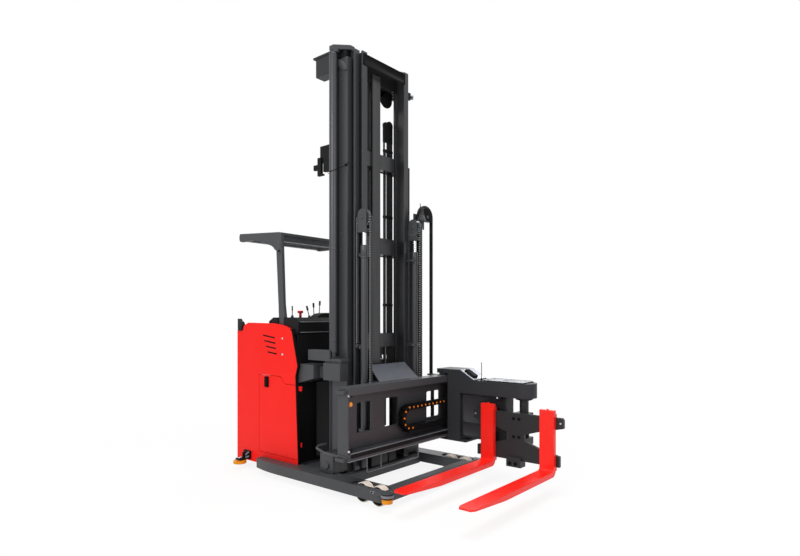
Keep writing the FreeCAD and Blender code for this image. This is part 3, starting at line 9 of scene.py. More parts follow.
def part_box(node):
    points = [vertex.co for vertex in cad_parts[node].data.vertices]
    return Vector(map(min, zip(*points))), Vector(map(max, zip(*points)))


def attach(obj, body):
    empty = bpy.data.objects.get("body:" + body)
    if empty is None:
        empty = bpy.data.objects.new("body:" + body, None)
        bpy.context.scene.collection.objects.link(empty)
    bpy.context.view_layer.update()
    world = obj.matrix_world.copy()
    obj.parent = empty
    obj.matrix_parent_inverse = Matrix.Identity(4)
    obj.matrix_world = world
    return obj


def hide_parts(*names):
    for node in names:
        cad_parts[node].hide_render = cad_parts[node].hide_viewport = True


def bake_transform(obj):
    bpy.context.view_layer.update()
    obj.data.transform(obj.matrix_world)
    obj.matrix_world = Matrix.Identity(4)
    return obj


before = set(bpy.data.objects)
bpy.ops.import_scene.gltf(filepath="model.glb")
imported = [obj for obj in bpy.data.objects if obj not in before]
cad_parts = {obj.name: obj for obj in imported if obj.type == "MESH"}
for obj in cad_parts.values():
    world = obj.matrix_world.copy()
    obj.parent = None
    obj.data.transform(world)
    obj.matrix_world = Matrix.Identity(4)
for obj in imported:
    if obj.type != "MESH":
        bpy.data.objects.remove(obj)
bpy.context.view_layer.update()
scene = bpy.context.scene

# places given through at() are millimetres. Radii, margins, depths and pieces modelled
# at the origin are in metres
MM = 0.001


# ---- materials -------------------------------------------------------------
def linear(hex_colour):
    """sRGB hex to the linear colour that a shader takes."""
    shares = [int(hex_colour[i:i + 2], 16) / 255 for i in (0, 2, 4)]
    return tuple(c / 12.92 if c <= 0.04045 else ((c + 0.055) / 1.055) ** 2.4 for c in shares) + (1.0,)


def per_mm(size_mm):
    """Texture scale, in repeats per metre, for a feature of this size."""
    return 1000.0 / size_mm


def add(tree, kind, settings=None, **links):
    """One node with its properties, socket values and incoming links."""
    node = tree.nodes.new(kind)
    for name, value in (settings or {}).items():
        if name in node.inputs:
            node.inputs[name].default_value = value
        else:
            setattr(node, name, value)
    for name, source in links.items():
        tree.links.new(source, node.inputs[name.replace("_", " ")])
    return node


ROUGH_SPREAD = 0.06                  # a finish's roughness varies by this much either way
PATCH_FROM, PATCH_FULL = 0.35, 0.75  # noise values between which the patch colour comes in
WAVE_LENGTH = 0.3142                 # one band of a wave texture at scale 1
METAL_SPECULAR = 0.5
MIX_A, MIX_B, MIX_RESULT = 6, 7, 2   # colour sockets of a mix node


def coat(name, base, rough, metallic=0.0, patch=None, patch_mm=180, patch_share=0.35, grain_mm=2.0,
         grain_depth=0.02, stretch=(1.0, 1.0, 1.0), ribs=None, gleam=0.22, edge_mm=0.0, **sockets):
    """Painted, moulded or plated surface: base colour with soft patches, even grain and a varied gloss.

    Sizes are in millimetres. ribs gives an axis, a pitch and a depth, gleam the specular level of a surface
    that isn't metal, and edge_mm the rounding that light sees on sharp edges.
    """
    material = bpy.data.materials.new(name)
    material.use_nodes = True
    tree = material.node_tree
    shader = tree.nodes["Principled BSDF"]
    shader.inputs["Metallic"].default_value = metallic
    shader.inputs["Specular IOR Level"].default_value = METAL_SPECULAR if metallic else gleam
    for socket, value in sockets.items():
        shader.inputs[socket.replace("_", " ")].default_value = value
    place = add(tree, "ShaderNodeTexCoord").outputs["Object"]
    drawn = add(tree, "ShaderNodeMapping", {"Scale": stretch}, Vector=place).outputs["Vector"]
    cloud = add(tree, "ShaderNodeTexNoise", {"Scale": per_mm(patch_mm), "Detail": 5.0},
                Vector=drawn).outputs["Fac"]
    grain = add(tree, "ShaderNodeTexNoise", {"Scale": per_mm(grain_mm), "Detail": 2.0},
                Vector=drawn).outputs["Fac"]
    share = add(tree, "ShaderNodeMapRange",
                {"From Min": PATCH_FROM, "From Max": PATCH_FULL, "To Max": patch_share}, Value=cloud)
    mixed = add(tree, "ShaderNodeMix", {"data_type": "RGBA"})
    mixed.inputs[MIX_A].default_value = linear(base)
    mixed.inputs[MIX_B].default_value = linear(patch or base)
    tree.links.new(share.outputs["Result"], mixed.inputs[0])
    tree.links.new(mixed.outputs[MIX_RESULT], shader.inputs["Base Color"])
    gloss = add(tree, "ShaderNodeMapRange", {"To Min": rough - ROUGH_SPREAD, "To Max": rough + ROUGH_SPREAD},
                Value=cloud)
    tree.links.new(gloss.outputs["Result"], shader.inputs["Roughness"])
    bump = add(tree, "ShaderNodeBump", {"Strength": 1.0, "Distance": grain_depth * MM}, Height=grain)
    if edge_mm:
        rounded = add(tree, "ShaderNodeBevel", {"samples": 6, "Radius": edge_mm * MM})
        tree.links.new(rounded.outputs["Normal"], bump.inputs["Normal"])
    if ribs:
        axis, pitch, depth = ribs
        wave = add(tree, "ShaderNodeTexWave", {"Scale": per_mm(pitch) * WAVE_LENGTH, "bands_direction": axis},
                   Vector=place)
        bump = add(tree, "ShaderNodeBump", {"Strength": 1.0, "Distance": depth * MM},
                   Height=wave.outputs["Fac"], Normal=bump.outputs["Normal"])
    tree.links.new(bump.outputs["Normal"], shader.inputs["Normal"])
    return material


M = {
    # powder-coated steel plate: bright red, even, with a fine orange peel
    "red": coat("powder_coat_red", "FF211A", 0.40, patch="FB1D17", grain_mm=3.0, grain_depth=0.04,
                gleam=0.15),
    # two-pack paint on the forged forks: a little glossier, rubbed darker in streaks along the blades
    "fork": coat("fork_enamel_red", "FF2418", 0.30, patch="EE1C14", patch_mm=60, stretch=(1.0, 0.15, 1.0),
                 grain_mm=5.0, grain_depth=0.05, edge_mm=5.0, gleam=0.3),
    # structural paint on welded steel: charcoal, satin, soft clouds of dust
    "grey": coat("structural_paint_charcoal", "434447", 0.44, patch="3A3B3D", grain_mm=2.5, grain_depth=0.05,
                 edge_mm=4.0, gleam=0.35),
    # paint on rolled mast sections: drawn marks along the rails
    "mast": coat("mast_paint_charcoal", "37383B", 0.34, patch="2A2B2D", patch_mm=40, stretch=(1.0, 1.0, 0.06),
                 grain_mm=2.5, grain_depth=0.04, edge_mm=7.0, gleam=0.5),
    # same paint on the inner stages, made darker as painted shade, with dark streaks along the rails
    "mast_inner": coat("mast_paint_painted_shade", "2F3032", 0.32, patch="1D1E20", patch_mm=50,
                       stretch=(1.0, 1.0, 0.05), patch_share=0.8, grain_mm=3.0, grain_depth=0.05, edge_mm=6.0,
                       gleam=0.5),
    # textured paint of the rotating head: dark, matt
    "head": coat("head_paint_dark_grey", "323336", 0.52, patch="2C2D2F", grain_mm=1.5, grain_depth=0.05,
                 edge_mm=4.0, gleam=0.2),
    # blackened thick plate of the fork carrier: near black, with a faint sheen
    "plate": coat("blackened_steel_plate", "27282A", 0.46, patch="222324", grain_mm=2.0, grain_depth=0.06,
                  edge_mm=3.0, gleam=0.3),
    # sheet steel in fine-textured black powder
    "black": coat("powder_coat_black", "0E0E0F", 0.52, patch="141415", grain_mm=1.5, grain_depth=0.08,
                  gleam=0.15),
    # moulded ABS: black, satin, with a fine even texture
    "plastic": coat("moulded_abs_black", "101011", 0.46, patch="161617", grain_mm=1.2, grain_depth=0.06,
                    gleam=0.25),
    # extruded rubber along a sheet's edge: dull black
    "seal": coat("epdm_edge_seal", "0C0C0C", 0.70, patch="131313", grain_mm=2.0, grain_depth=0.1, gleam=0.1),
    # ribbed mat: straight ribs 12 mm apart along the truck
    "rubber": coat("ribbed_rubber_mat", "131314", 0.75, patch="1C1C1D", grain_mm=4.0, grain_depth=0.2,
                   ribs=("Y", 12, 1.6)),
    # solid rubber pressed on the wheel: black, matt, with brownish wear
    "tyre": coat("solid_rubber_tyre", "1A1A1A", 0.78, patch="262524", grain_mm=3.0, grain_depth=0.15),
    # rubber hose cured in a wrap: black, half matt, with fine rings along it
    "hose": coat("wrapped_hydraulic_hose", "121213", 0.45, patch="1A1A1B", grain_mm=2.0, grain_depth=0.1,
                 ribs=("Z", 5, 0.3)),
    # ground and plated rod: a mirror, slightly grey
    "chrome": coat("hard_chrome_rod", "D8DADC", 0.10, metallic=1.0, patch="C6C9CC", grain_mm=0.8,
                   grain_depth=0.004),
    # turned steel: bright, with a soft sheen
    "steel": coat("bright_steel", "B4B6B8", 0.30, metallic=1.0, patch="94969A", grain_mm=1.0,
                  grain_depth=0.02),
    # thin painted sheet: mid grey, satin, with faint drawn marks across
    "sheet": coat("satin_grey_sheet", "565962", 0.34, patch="494B52", patch_mm=8, patch_share=0.7,
                  stretch=(1.0, 0.05, 1.0), grain_mm=1.6, grain_depth=0.02, gleam=0.4),
    # lacquered covers: light grey, slightly cool, half matt
    "pale": coat("pale_lacquered_cover", "A5A7AC", 0.42, patch="9B9DA2", grain_mm=2.0, grain_depth=0.02),
    # lightest lacquered cover, on the head's slope: nearly white, slightly violet
    "white": coat("white_lacquered_cover", "D6D9E4", 0.42, patch="CDD0DB", grain_mm=2.0, grain_depth=0.02),
    # zinc plate on fasteners: light, cool, half bright
    "zinc": coat("zinc_plated_bolt", "C9CCCE", 0.32, metallic=1.0, patch="A9ADB0", grain_mm=1.0,
                 grain_depth=0.01),
    # oiled steel chain: grey with darker oily patches
    "chain": coat("oiled_leaf_chain", "5A5A5B", 0.36, metallic=1.0, patch="2A2A2B", patch_mm=12, grain_mm=2.0,
                  grain_depth=0.05),
    # paint over sand-cast iron: dark grey, matt and rough
    "cast": coat("cast_iron_painted", "2C2D2F", 0.60, patch="38393B", grain_mm=2.5, grain_depth=0.2),
    # cast polyurethane tread: cream, slightly glossy, yellowed in patches
    "cream": coat("cream_polyurethane", "E2D6CA", 0.42, patch="D2C3B2", grain_mm=2.0, grain_depth=0.05),
    # cast polyurethane roller: amber and slightly glossy
    "yellow": coat("amber_polyurethane", "E89414", 0.36, patch="D07E0C", grain_mm=2.0, grain_depth=0.05),
    # acid-proof enamel of the battery case: near black, half matt
    "case": coat("battery_case_enamel", "141516", 0.50, patch="1A1B1C", grain_mm=2.0, grain_depth=0.05),
    # light grey cover plates and trims
    "trim": coat("light_grey_trim", "787A7F", 0.36, patch="6C6E72", grain_mm=2.0, grain_depth=0.03,
                 gleam=0.4),
    # nylon pins of the energy chain: orange, half matt
    "pin": coat("orange_nylon_pin", "FF8A12", 0.42, patch="F07A08", grain_mm=1.0, grain_depth=0.03),
    # amber lens: clear plastic with a strong colour and a glossy face
    "amber": coat("amber_lens", "FF9A1E", 0.14, patch="F28A10", grain_mm=3.0, grain_depth=0.02,
                  Coat_Weight=0.6),
    # display and camera glass: pale and glossy
    "glass": coat("lamp_glass", "C9D2D8", 0.08, patch="B4BEC6", grain_mm=2.0, grain_depth=0.05,
                  Coat_Weight=0.8),
    # moulded mushroom button: bright red and glossy
    "stop": coat("stop_button_red", "E6161A", 0.30, patch="D01014", grain_mm=2.0, grain_depth=0.02,
                 Coat_Weight=0.3),
}

NODE_LOOK = {
    "base_frame": "grey", "load_axles": "steel", "guide_roller_brackets": "black", "drive_unit": "cast",
    "drive_wheel": "tyre", "body_panel_left": "red", "body_panel_right": "red", "service_door_left": "red",
    "service_door_right": "red", "front_cover": "black", "battery": "case", "console": "black",
    "console_controls": "plastic", "steering_wheel": "plastic", "operator_platform": "rubber",
    "drive_cover": "black", "corner_horns": "plastic", "overhead_guard": "grey", "outer_mast": "mast",
    "mast_sensor": "black", "lift_cylinders": "mast", "mast_brackets": "grey", "mid_mast": "mast",
    "lift_rods": "chrome", "mast_shelf": "plate", "mid_hoses": "hose", "inner_mast": "mast_inner",
    "freelift_cylinders": "mast", "freelift_clamps": "mast", "freelift_rods": "chrome",
    "freelift_heads": "grey", "chain_rear_falls": "chain", "chain_front_falls": "chain",
    "hose_rear_fall": "hose", "hose_front_fall": "hose", "lift_carriage": "mast_inner",
    "traverse_frame": "grey", "sign_plate": "sheet", "energy_chain": "plastic", "turret_head": "head",
    "head_fittings": "plastic", "fork_plate": "plate", "fork_inner": "fork", "fork_outer": "fork",
}
for name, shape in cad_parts.items():
    look = NODE_LOOK.get(name) or ("cream" if name.startswith("load_wheel") else "yellow")
    shape.data.materials.clear()
    shape.data.materials.append(M[look])


# ---- modelling helpers -----------------------------------------------------
HANDS = (("right", -1), ("left", 1))
X, Y, Z = 0, 1, 2
SHARP = math.radians(35)             # sharper edges are rounded and stay edges, the rest is smooth
WALL_LEAN = 0.0005                   # wall of a sunk face leans in by this much


def clear():
    bpy.ops.object.select_all(action="DESELECT")


def pick(shape):
    """Make one piece the only selected and the active one."""
    clear()
    shape.select_set(True)
    bpy.context.view_layer.objects.active = shape


def apply_place(shape):
    pick(shape)
    bpy.ops.object.transform_apply(location=True, rotation=True, scale=True)


def bevelled(shape, width, segments=2):
    """Round the sharp edges, if a width is given, and shade the rest smooth."""
    pick(shape)
    if width:
        bevel = shape.modifiers.new("bevel", "BEVEL")
        bevel.width, bevel.segments, bevel.limit_method = width, segments, "ANGLE"
        bevel.angle_limit = SHARP
        bpy.ops.object.modifier_apply(modifier="bevel")
    bpy.ops.object.shade_smooth_by_angle(angle=SHARP)
    return shape


def block(lo, hi, bevel=0.002, segments=2):
    """Box between two corners with its edges rounded."""
    clear()
    lo, hi = Vector(lo), Vector(hi)
    bpy.ops.mesh.primitive_cube_add(size=1, location=(lo + hi) / 2)
    shape = bpy.context.object
    shape.scale = [abs(c) for c in hi - lo]
    apply_place(shape)
    return bevelled(shape, bevel, segments)


def bar(start, end, radius, bevel=0.0015, sides=24):
    """Round bar from point to point."""
    clear()
    start, end = Vector(start), Vector(end)
    run = end - start
    bpy.ops.mesh.primitive_cylinder_add(vertices=sides, radius=radius, depth=run.length,
                                        location=(start + end) / 2,
                                        rotation=run.to_track_quat("Z", "Y").to_euler())
    shape = bpy.context.object
    apply_place(shape)
    return bevelled(shape, bevel)


def pick_faces(shape, wanted):
    """Edit mode on one piece with only the faces that a test picks by place and normal."""
    pick(shape)
    bpy.ops.object.mode_set(mode="EDIT")
    bpy.ops.mesh.select_mode(type="FACE")
    bpy.ops.mesh.select_all(action="DESELECT")
    bpy.ops.object.mode_set(mode="OBJECT")
    for face in shape.data.polygons:
        face.select = wanted(face.center, face.normal)
    bpy.ops.object.mode_set(mode="EDIT")


def leave_edit():
    bpy.ops.object.mode_set(mode="OBJECT")


def facing(axis, way=1, least=0.9):
    """Test for faces that look along an axis, or against it."""
    return lambda centre, normal: normal[axis] * way > least


def sunk(shape, wanted, margin, depth):
    """Inset the picked faces and push the middle in (depth below 0) or out."""
    pick_faces(shape, wanted)
    bpy.ops.mesh.inset(thickness=margin, depth=0)
    bpy.ops.mesh.inset(thickness=WALL_LEAN, depth=depth)
    leave_edit()
    return shape


def join(shapes):
    """Make one piece of several."""
    clear()
    for shape in shapes:
        shape.select_set(True)
    bpy.context.view_layer.objects.active = shapes[0]
    if len(shapes) > 1:
        bpy.ops.object.join()
    return shapes[0]


def spread(shape, places):
    """One copy of a piece, with its own mesh, at each place or matrix; all joined."""
    twins = []
    for place in places:
        twin = shape.copy()
        twin.data = shape.data.copy()
        scene.collection.objects.link(twin)
        twin.data.transform(place if isinstance(place, Matrix) else Matrix.Translation(place))
        twins.append(twin)
    bpy.data.objects.remove(shape)
    return join(twins)


def dress(shape, name, look):
    """Name and material of a finished piece."""
    shape.name = name
    shape.data.name = name
    shape.data.materials.clear()
    shape.data.materials.append(M[look])
    return shape


def finish(shape, name, look, body):
    """A dressed piece that moves with a body."""
    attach(dress(shape, name, look), body)
    return shape


def bolts(name, body, axis, places, radius=0.008, height=0.005, look="zinc"):
    """Round socket-head bolts standing on a face, heads along an axis."""
    clear()
    bpy.ops.mesh.primitive_cylinder_add(vertices=18, radius=radius, depth=height, location=(0, 0, height / 2))
    head = bpy.context.object
    apply_place(head)
    bevelled(head, height * 0.25)
    sunk(head, lambda c, n: n.z > 0.95 and c.z > height * 0.9, radius * 0.42, -height * 0.5)
    head.data.transform(Vector(axis).to_track_quat("Z", "Y").to_matrix().to_4x4())
    return finish(spread(head, places), name, look, body)


def lo_hi(node):
    """Lower and upper corner of a CAD piece."""
    lo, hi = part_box(node)
    return Vector(lo), Vector(hi)


# where the CAD pieces stand: outer faces of the panels and the guard's pillars in millimetres,
# the rest in metres
skin = lo_hi("body_panel_left")[1].y * 1000
post = lo_hi("overhead_guard")[1].y * 1000
nose = lo_hi("console")[1].x
links_lo, links_hi = lo_hi("energy_chain")
wheel_lo, wheel_hi = lo_hi("load_wheel_front_left")
AXLE_SETBACK = 0.098                 # front load wheels' axle behind the base frame's front face
front_x = (wheel_lo.x + wheel_hi.x) / 2 + AXLE_SETBACK


def at(x, y, z):
    """Point from millimetres ahead of the base frame's front face, left of the middle and above the floor."""
    return Vector((front_x + x * MM, y * MM, z * MM))


# ---- body ------------------------------------------------------------------
# opposite corners, or points along an edge, as X and Z in millimetres
PANEL_EDGE = ((-1064, 140), (-1100, 897), (-1072, 981), (-1148, 1278), (-1172, 1300))
DOOR_EDGE = ((-1066, 184), (-1095, 812))
LATCH = ((-1524, 770), (-1466, 868))
PADDLE = ((-1488, 836), (-1474, 852))
SLOTS = ((-1576, 1066), (-1330, 1262))
TONGUE = ((-1396, 1985), (-1352, 2090))
TONGUE_TIP_X = -1374
PANEL_BOLT_X, PANEL_BOLT_ZS = -1269, (1075, 1215)


def upright(corners, side, inner, outer, bevel=0.002, segments=2):
    """Block between two corners of X and Z, from an inner to an outer distance off the middle plane."""
    (x0, z0), (x1, z1) = corners
    return block(at(x0, side * inner, z0), at(x1, side * outer, z1), bevel, segments)


for hand, side in HANDS:
    door = "door_" + hand
    # latch: black moulded tray over the door's recess, with a small grey paddle
    tray = upright(LATCH, side, skin - 13.5, skin + 2.5, 0.006, 3)
    finish(sunk(tray, facing(Y, side), 0.008, -0.008), "latch_tray_" + hand, "seal", door)
    paddle = upright(PADDLE, side, skin - 9, skin - 3)
    finish(sunk(paddle, facing(Y, side), 0.003, -0.001), "latch_paddle_" + hand, "trim", door)
    # dark mesh behind the cooling slots
    finish(upright(SLOTS, side, skin - 40, skin - 1), "slot_backing_" + hand, "seal", "chassis")
    bolts("panel_bolts_" + hand, "chassis", (0, side, 0),
          [at(PANEL_BOLT_X, side * skin, z) for z in PANEL_BOLT_ZS], 0.010, 0.006)
    # gusset's tongue lapping over the pillar, with a round tip
    tongue = upright(TONGUE, side, post - 1, post + 2, 0.001)
    tip_z = TONGUE[0][1]
    tip = bar(at(TONGUE_TIP_X, side * (post - 1), tip_z), at(TONGUE_TIP_X, side * (post + 2), tip_z),
              0.022, 0.001, 32)
    finish(join([tongue, tip]), "gusset_tongue_" + hand, "grey", "chassis")


SEAL_INSET = 15                      # millimetres from the skin in to the middle of a seal
SEAL_HALF = 0.0158
SEAL_BACK, SEAL_FRONT = 0.0015, 0.0035   # reach of a seal behind and ahead of the sheet's edge


def edge_strip(name, body, points):
    """Rubber seal pushed over a sheet's front edge, along points of X and Z in millimetres."""
    for hand, side in HANDS:
        runs = []
        for (x0, z0), (x1, z1) in zip(points, points[1:]):
            length = math.hypot(x1 - x0, z1 - z0)
            run = block((-SEAL_BACK, -SEAL_HALF, -length * MM / 2),
                        (SEAL_FRONT, SEAL_HALF, length * MM / 2 + 0.001), 0.001)
            middle = at((x0 + x1) / 2, side * (skin - SEAL_INSET), (z0 + z1) / 2)
            lean = math.atan2(x1 - x0, z1 - z0)
            run.data.transform(Matrix.Translation(middle) @ Matrix.Rotation(lean, 4, "Y"))
            runs.append(run)
        finish(join(runs), name + "_" + hand, "seal", body.replace("HAND", hand))


edge_strip("panel_seal", "chassis", PANEL_EDGE)
edge_strip("door_seal", "door_HAND", DOOR_EDGE)

# bright edge strips along the console's front, and the raised middle sheet of the front cover
for number, z in enumerate((1361, 1270)):
    strip = block((nose - 0.002, -0.5, z * MM - 0.0035), (nose + 0.004, 0.5, z * MM + 0.0035), 0.0015)
    finish(strip, f"console_strip_{number}", "trim", "chassis")
COVER_X, SHEET_HALF, SHEET_T = -1098, 0.338, 0.003
wall_x = at(COVER_X, 0, 0).x
sheet = block((wall_x - 0.001, -SHEET_HALF, 0.150), (wall_x + SHEET_T, SHEET_HALF, 0.842), 0.001)
sunk(sheet, facing(X), 0.022, -0.0015)
finish(sheet, "cover_sheet", "black", "chassis")
bolts("cover_bolts", "chassis", (1, 0, 0),
      [(wall_x + SHEET_T, side * 0.326, z) for side in (-1, 1) for z in (0.17, 0.49, 0.82)],
      0.006, 0.003, "black")

# ---- console and operator's place ------------------------------------------
ROW_X, STOP_Y = -1330, -297          # row of levers and stop button
LEVER_YS = (-391, -188, -131, -68)
cap = join([bar(at(ROW_X, STOP_Y, 1440), at(ROW_X, STOP_Y, 1463), 0.0265, 0.006, 32),
            bar(at(ROW_X, STOP_Y, 1408), at(ROW_X, STOP_Y, 1442), 0.0125, 0.001, 24)])
finish(cap, "stop_cap", "stop", "chassis")
for number, y in enumerate(LEVER_YS):
    ferrule = bar(at(ROW_X, y, 1418), at(ROW_X, y, 1424), 0.010, 0.001, 20)
    finish(ferrule, f"lever_ferrule_{number}", "steel", "chassis")
glass = block(at(-1434, 296, 1413), at(-1346, 424, 1416), 0.001)
sunk(glass, facing(Z), 0.006, -0.001)
finish(glass, "display_glass", "glass", "chassis")
pedal = block(at(-1640, -380, 232), at(-1560, -250, 250), 0.006)
sunk(pedal, facing(Z), 0.010, -0.003)
finish(pedal, "dead_man_pedal", "black", "chassis")
GRAB_X, GRAB_Z, GRAB_R = -1536, 1130, 0.011
grab = [bar(at(-1482, y, GRAB_Z), at(GRAB_X, y, GRAB_Z), GRAB_R) for y in (-330, -90)]
grab.append(bar(at(GRAB_X, -341, GRAB_Z), at(GRAB_X, -79, GRAB_Z), GRAB_R, 0.004))
finish(join(grab), "grab_rail", "plastic", "chassis")

# ---- wheels ----------------------------------------------------------------
REAR_ROLLER = (-1800, 622)           # axis of the left rear guide roller, X and Y
for row in ("front", "rear"):
    for hand in ("left", "right"):
        lo, hi = lo_hi(f"load_wheel_{row}_{hand}")
        mid = (lo + hi) / 2
        caps = []
        for y, way in ((lo.y, -1), (hi.y, 1)):
            disc = bar((mid.x, y - way * 0.004, mid.z), (mid.x, y + way * 0.002, mid.z), 0.046, 0.001, 32)
            sunk(disc, facing(Y, way, 0.95), 0.012, -0.0015)
            caps.append(disc)
        finish(join(caps), f"wheel_hub_{row}_{hand}", "steel", f"load_wheel_{row}_{hand}")
        # black disc over each wheel's outer face: the wheel's dark cover plate, made black as painted shade
        # under the leg
        way = -1 if hand == "right" else 1
        edge = lo.y if hand == "right" else hi.y
        cover_painted_shade = bar((mid.x, edge - way * 0.002, mid.z), (mid.x, edge + way * 0.0008, mid.z),
                   (hi.z - lo.z) / 2 - 0.007, 0.001, 48)
        finish(cover_painted_shade, f"wheel_dish_{row}_{hand}", "seal", f"load_wheel_{row}_{hand}")
for hand, side in HANDS:
    # light band with bolts round the leg's front corner, a black ring of painted shade for the groove over
    # it, and the leg's slot
    lo, hi = lo_hi("guide_roller_front_" + hand)
    mid, reach = (lo + hi) / 2, (hi.x - lo.x) / 2
    band = [bar((mid.x, mid.y, 0.104), (mid.x, mid.y, 0.124), reach + 0.0065, 0.003, 64),
            block(at(-128, side * 640, 104), at(-60, side * 652.4, 124), 0.002),
            block(at(-62, side * 552, 104), at(2.4, side * 590, 124), 0.002)]
    finish(join(band), "corner_band_" + hand, "trim", "chassis")
    groove = bar((mid.x, mid.y, 0.126), (mid.x, mid.y, 0.131), reach + 0.0060, 0.001, 64)
    finish(groove, "corner_groove_painted_shade_" + hand, "seal", "chassis")
    bolts("corner_bolts_" + hand, "chassis", (0, side, 0), [at(x, side * 652, 114) for x in (-112, -80)],
          0.007, 0.004, "seal")
    grid = block(at(-352, side * 566, 134), at(-338, side * 626, 137), 0.001)
    finish(grid, "leg_slot_" + hand, "seal", "chassis")
    # yoke and pin that carry the rear guide roller
    yoke = [bar(at(-1752, side * 552, z), at(-1800, side * 618, 92), 0.008, 0.002, 16) for z in (150, 108)]
    pin_x, pin_y = REAR_ROLLER[0], side * REAR_ROLLER[1]
    yoke.append(bar(at(pin_x, pin_y, 66), at(pin_x, pin_y, 90), 0.020, 0.003, 32))
    finish(join(yoke), "roller_yoke_" + hand, "trim", "chassis")
    bolts("roller_pin_nut_" + hand, "chassis", (0, 0, 1), [at(pin_x, pin_y, 96)], 0.016, 0.010)

# ---- mast ------------------------------------------------------------------
CYLINDER_X, CYLINDER_Y = -749, 433   # axis of the left rear lift cylinder
PIPE_X, PIPE_LOW, PIPE_TOP = -700, 420, 2900   # return pipes behind the middle stage
RAIL_BOLT_ZS = (470, 620, 1960, 2095, 3380, 3520)
for hand, side in HANDS:
    bolts("rail_bolts_" + hand, "chassis", (0, side, 0),
          [at(-686, side * 394.5, z) for z in RAIL_BOLT_ZS], 0.011, 0.007, "mast")
    # dark seams round the cylinder, and the ring at its head
    x, y = CYLINDER_X, side * CYLINDER_Y
    seams = [bar(at(x, y, z), at(x, y, z + 5), 0.0356, 0.001, 40) for z in (1205, 1965)]
    finish(join(seams), "cylinder_seams_" + hand, "black", "chassis")
    ring = bar(at(x, y, 3558), at(x, y, 3584), 0.0345, 0.003, 40)
    finish(ring, "cylinder_head_ring_" + hand, "mast", "chassis")
clips = [block(at(-704, 134, z), at(-683, 256, z + 26), 0.003) for z in (940, 1500, 2300, 2900)]
finish(join(clips), "hose_clips", "plastic", "mid_stage")


def pulley(place, radius, width, axis):
    """Hose pulley: a disc with both faces sunk inside the rim."""
    clear()
    bpy.ops.mesh.primitive_cylinder_add(vertices=40, radius=radius, depth=width)
    disc = bpy.context.object
    apply_place(disc)
    for way in (-1, 1):
        sunk(disc, facing(Z, way, 0.95), radius * 0.28, -width * 0.22)
    bevelled(disc, 0.0015)
    disc.data.transform(Matrix.Translation(place) @ Vector(axis).to_track_quat("Z", "Y").to_matrix().to_4x4())
    return disc


wheels = [pulley(at(-735, -270, 3600), 0.034, 0.024, (0, 1, 0)),
          pulley(at(-715, -205, 3628), 0.038, 0.024, (0, 1, 0)),
          pulley(at(-715, 190, 3610), 0.034, 0.024, (0, 1, 0)),
          pulley(at(-715, 235, 3610), 0.034, 0.024, (0, 1, 0))]
wheels.append(bar(at(-735, -295, 3600), at(-735, -245, 3600), 0.008, 0.001, 16))
wheels.append(bar(at(-715, -245, 3628), at(-715, 250, 3612), 0.008, 0.001, 16))
finish(join(wheels), "top_pulleys", "plate", "mid_stage")
pipe = [bar(at(PIPE_X, y, PIPE_LOW), at(PIPE_X, y, PIPE_TOP), radius, 0.001, sides)
        for y, radius, sides in ((166.5, 0.009, 16), (262, 0.005, 12))]
finish(join(pipe), "return_pipes", "trim", "mid_stage")
# oval cover that leans over the outer rail, and the round shroud of the hose pulley
cover = bar((0, 0.003, 0), (0, -0.004, 0), 0.076, 0.002, 40)
cover.data.transform(Matrix.Translation(at(-684, -399, 3502)) @ Matrix.Rotation(math.radians(-47), 4, "Y")
                     @ Matrix.Diagonal((0.38, 1, 1, 1)))
finish(cover, "hose_guide_cover", "grey", "chassis")
shroud = join([bar(at(-706, 178, 3392), at(-698, 178, 3392), 0.084, 0.002, 48),
               block(at(-706, 94, 3392), at(-698, 262, 3462), 0.001)])
finish(shroud, "pulley_shroud", "seal", "mid_stage")
# stage's stop on the outer rail, and the cable duct along it
stem = [block(at(-650, 394, 3440), at(-625, 448, 3505), 0.003),
        bar(at(-640, 440, 3478), at(-640, 474, 3478), 0.010, 0.001, 16)]
finish(join(stem), "stage_stop_arm", "black", "chassis")
bolts("stage_stop_bolt", "chassis", (0.6, 0.8, 0), [at(-640, 474, 3478)], 0.022, 0.016, "pale")
duct = [block(at(-668, 395, 1070), at(-628, 433, 2800), 0.003),
        block(at(-668, 395, 2799), at(-632, 418, 3320), 0.003)]
finish(join(duct), "cable_duct", "black", "chassis")
# black sheets of painted shade between the inner rails at the top and over the top bar, and a black sheet
# beside the far chain
painted_shade_sheet = block(at(-539, -293, 3500), at(-534, 252, 3596), 0.001)
sunk(painted_shade_sheet, facing(X), 0.012, -0.001)
finish(painted_shade_sheet, "top_painted_shade_sheet", "seal", "inner_stage")
top_bar_painted_shade = block(at(-625, -236, 3441), at(-621, 236, 3613), 0.001)
finish(top_bar_painted_shade, "top_bar_painted_shade_face", "seal", "inner_stage")
# black sheet beside the far chain, darkening the space between the far rail and the chain
guard = block(at(-588, 350, 420), at(-583, 535, 2190), 0.001)
sunk(guard, facing(X), 0.010, -0.001)
finish(guard, "far_chain_dark_sheet", "seal", "inner_stage")
# spacer between the cap and the near cylinder
spacer = block(at(-772, -388, 3566), at(-650, -330, 3627), 0.003)
finish(spacer, "cap_spacer", "black", "mid_stage")
# sensor lead clipped across the outer rail and the cylinder
lead = [at(-600, -397, 2678), at(-632, -398, 2660), at(-690, -440, 2632), at(-735, -472, 2612),
        at(-775, -474, 2610), at(-800, -440, 2606)]
wire = [bar(a, b, 0.0028, 0.0005, 8) for a, b in zip(lead, lead[1:])]
wire.append(block(at(-646, -406, 2652), at(-622, -394, 2670), 0.002))
finish(join(wire), "sensor_lead", "seal", "chassis")
bolts("shelf_bolts", "mid_stage", (0, 0, 1), [at(x, y, 3659) for x in (-1000, -860) for y in (-380, -303)],
      0.009, 0.005, "mast")
bolts("cap_bolts", "mid_stage", (0, 0, 1),
      [at(x, side * 431, 3665) for x in (-752, -735) for side in (-1, 1)], 0.008, 0.005, "mast")
rib = block(at(-1000, -386, 3620), at(-812, -298, 3644), 0.003)
finish(rib, "shelf_stiffener", "mast", "mid_stage")


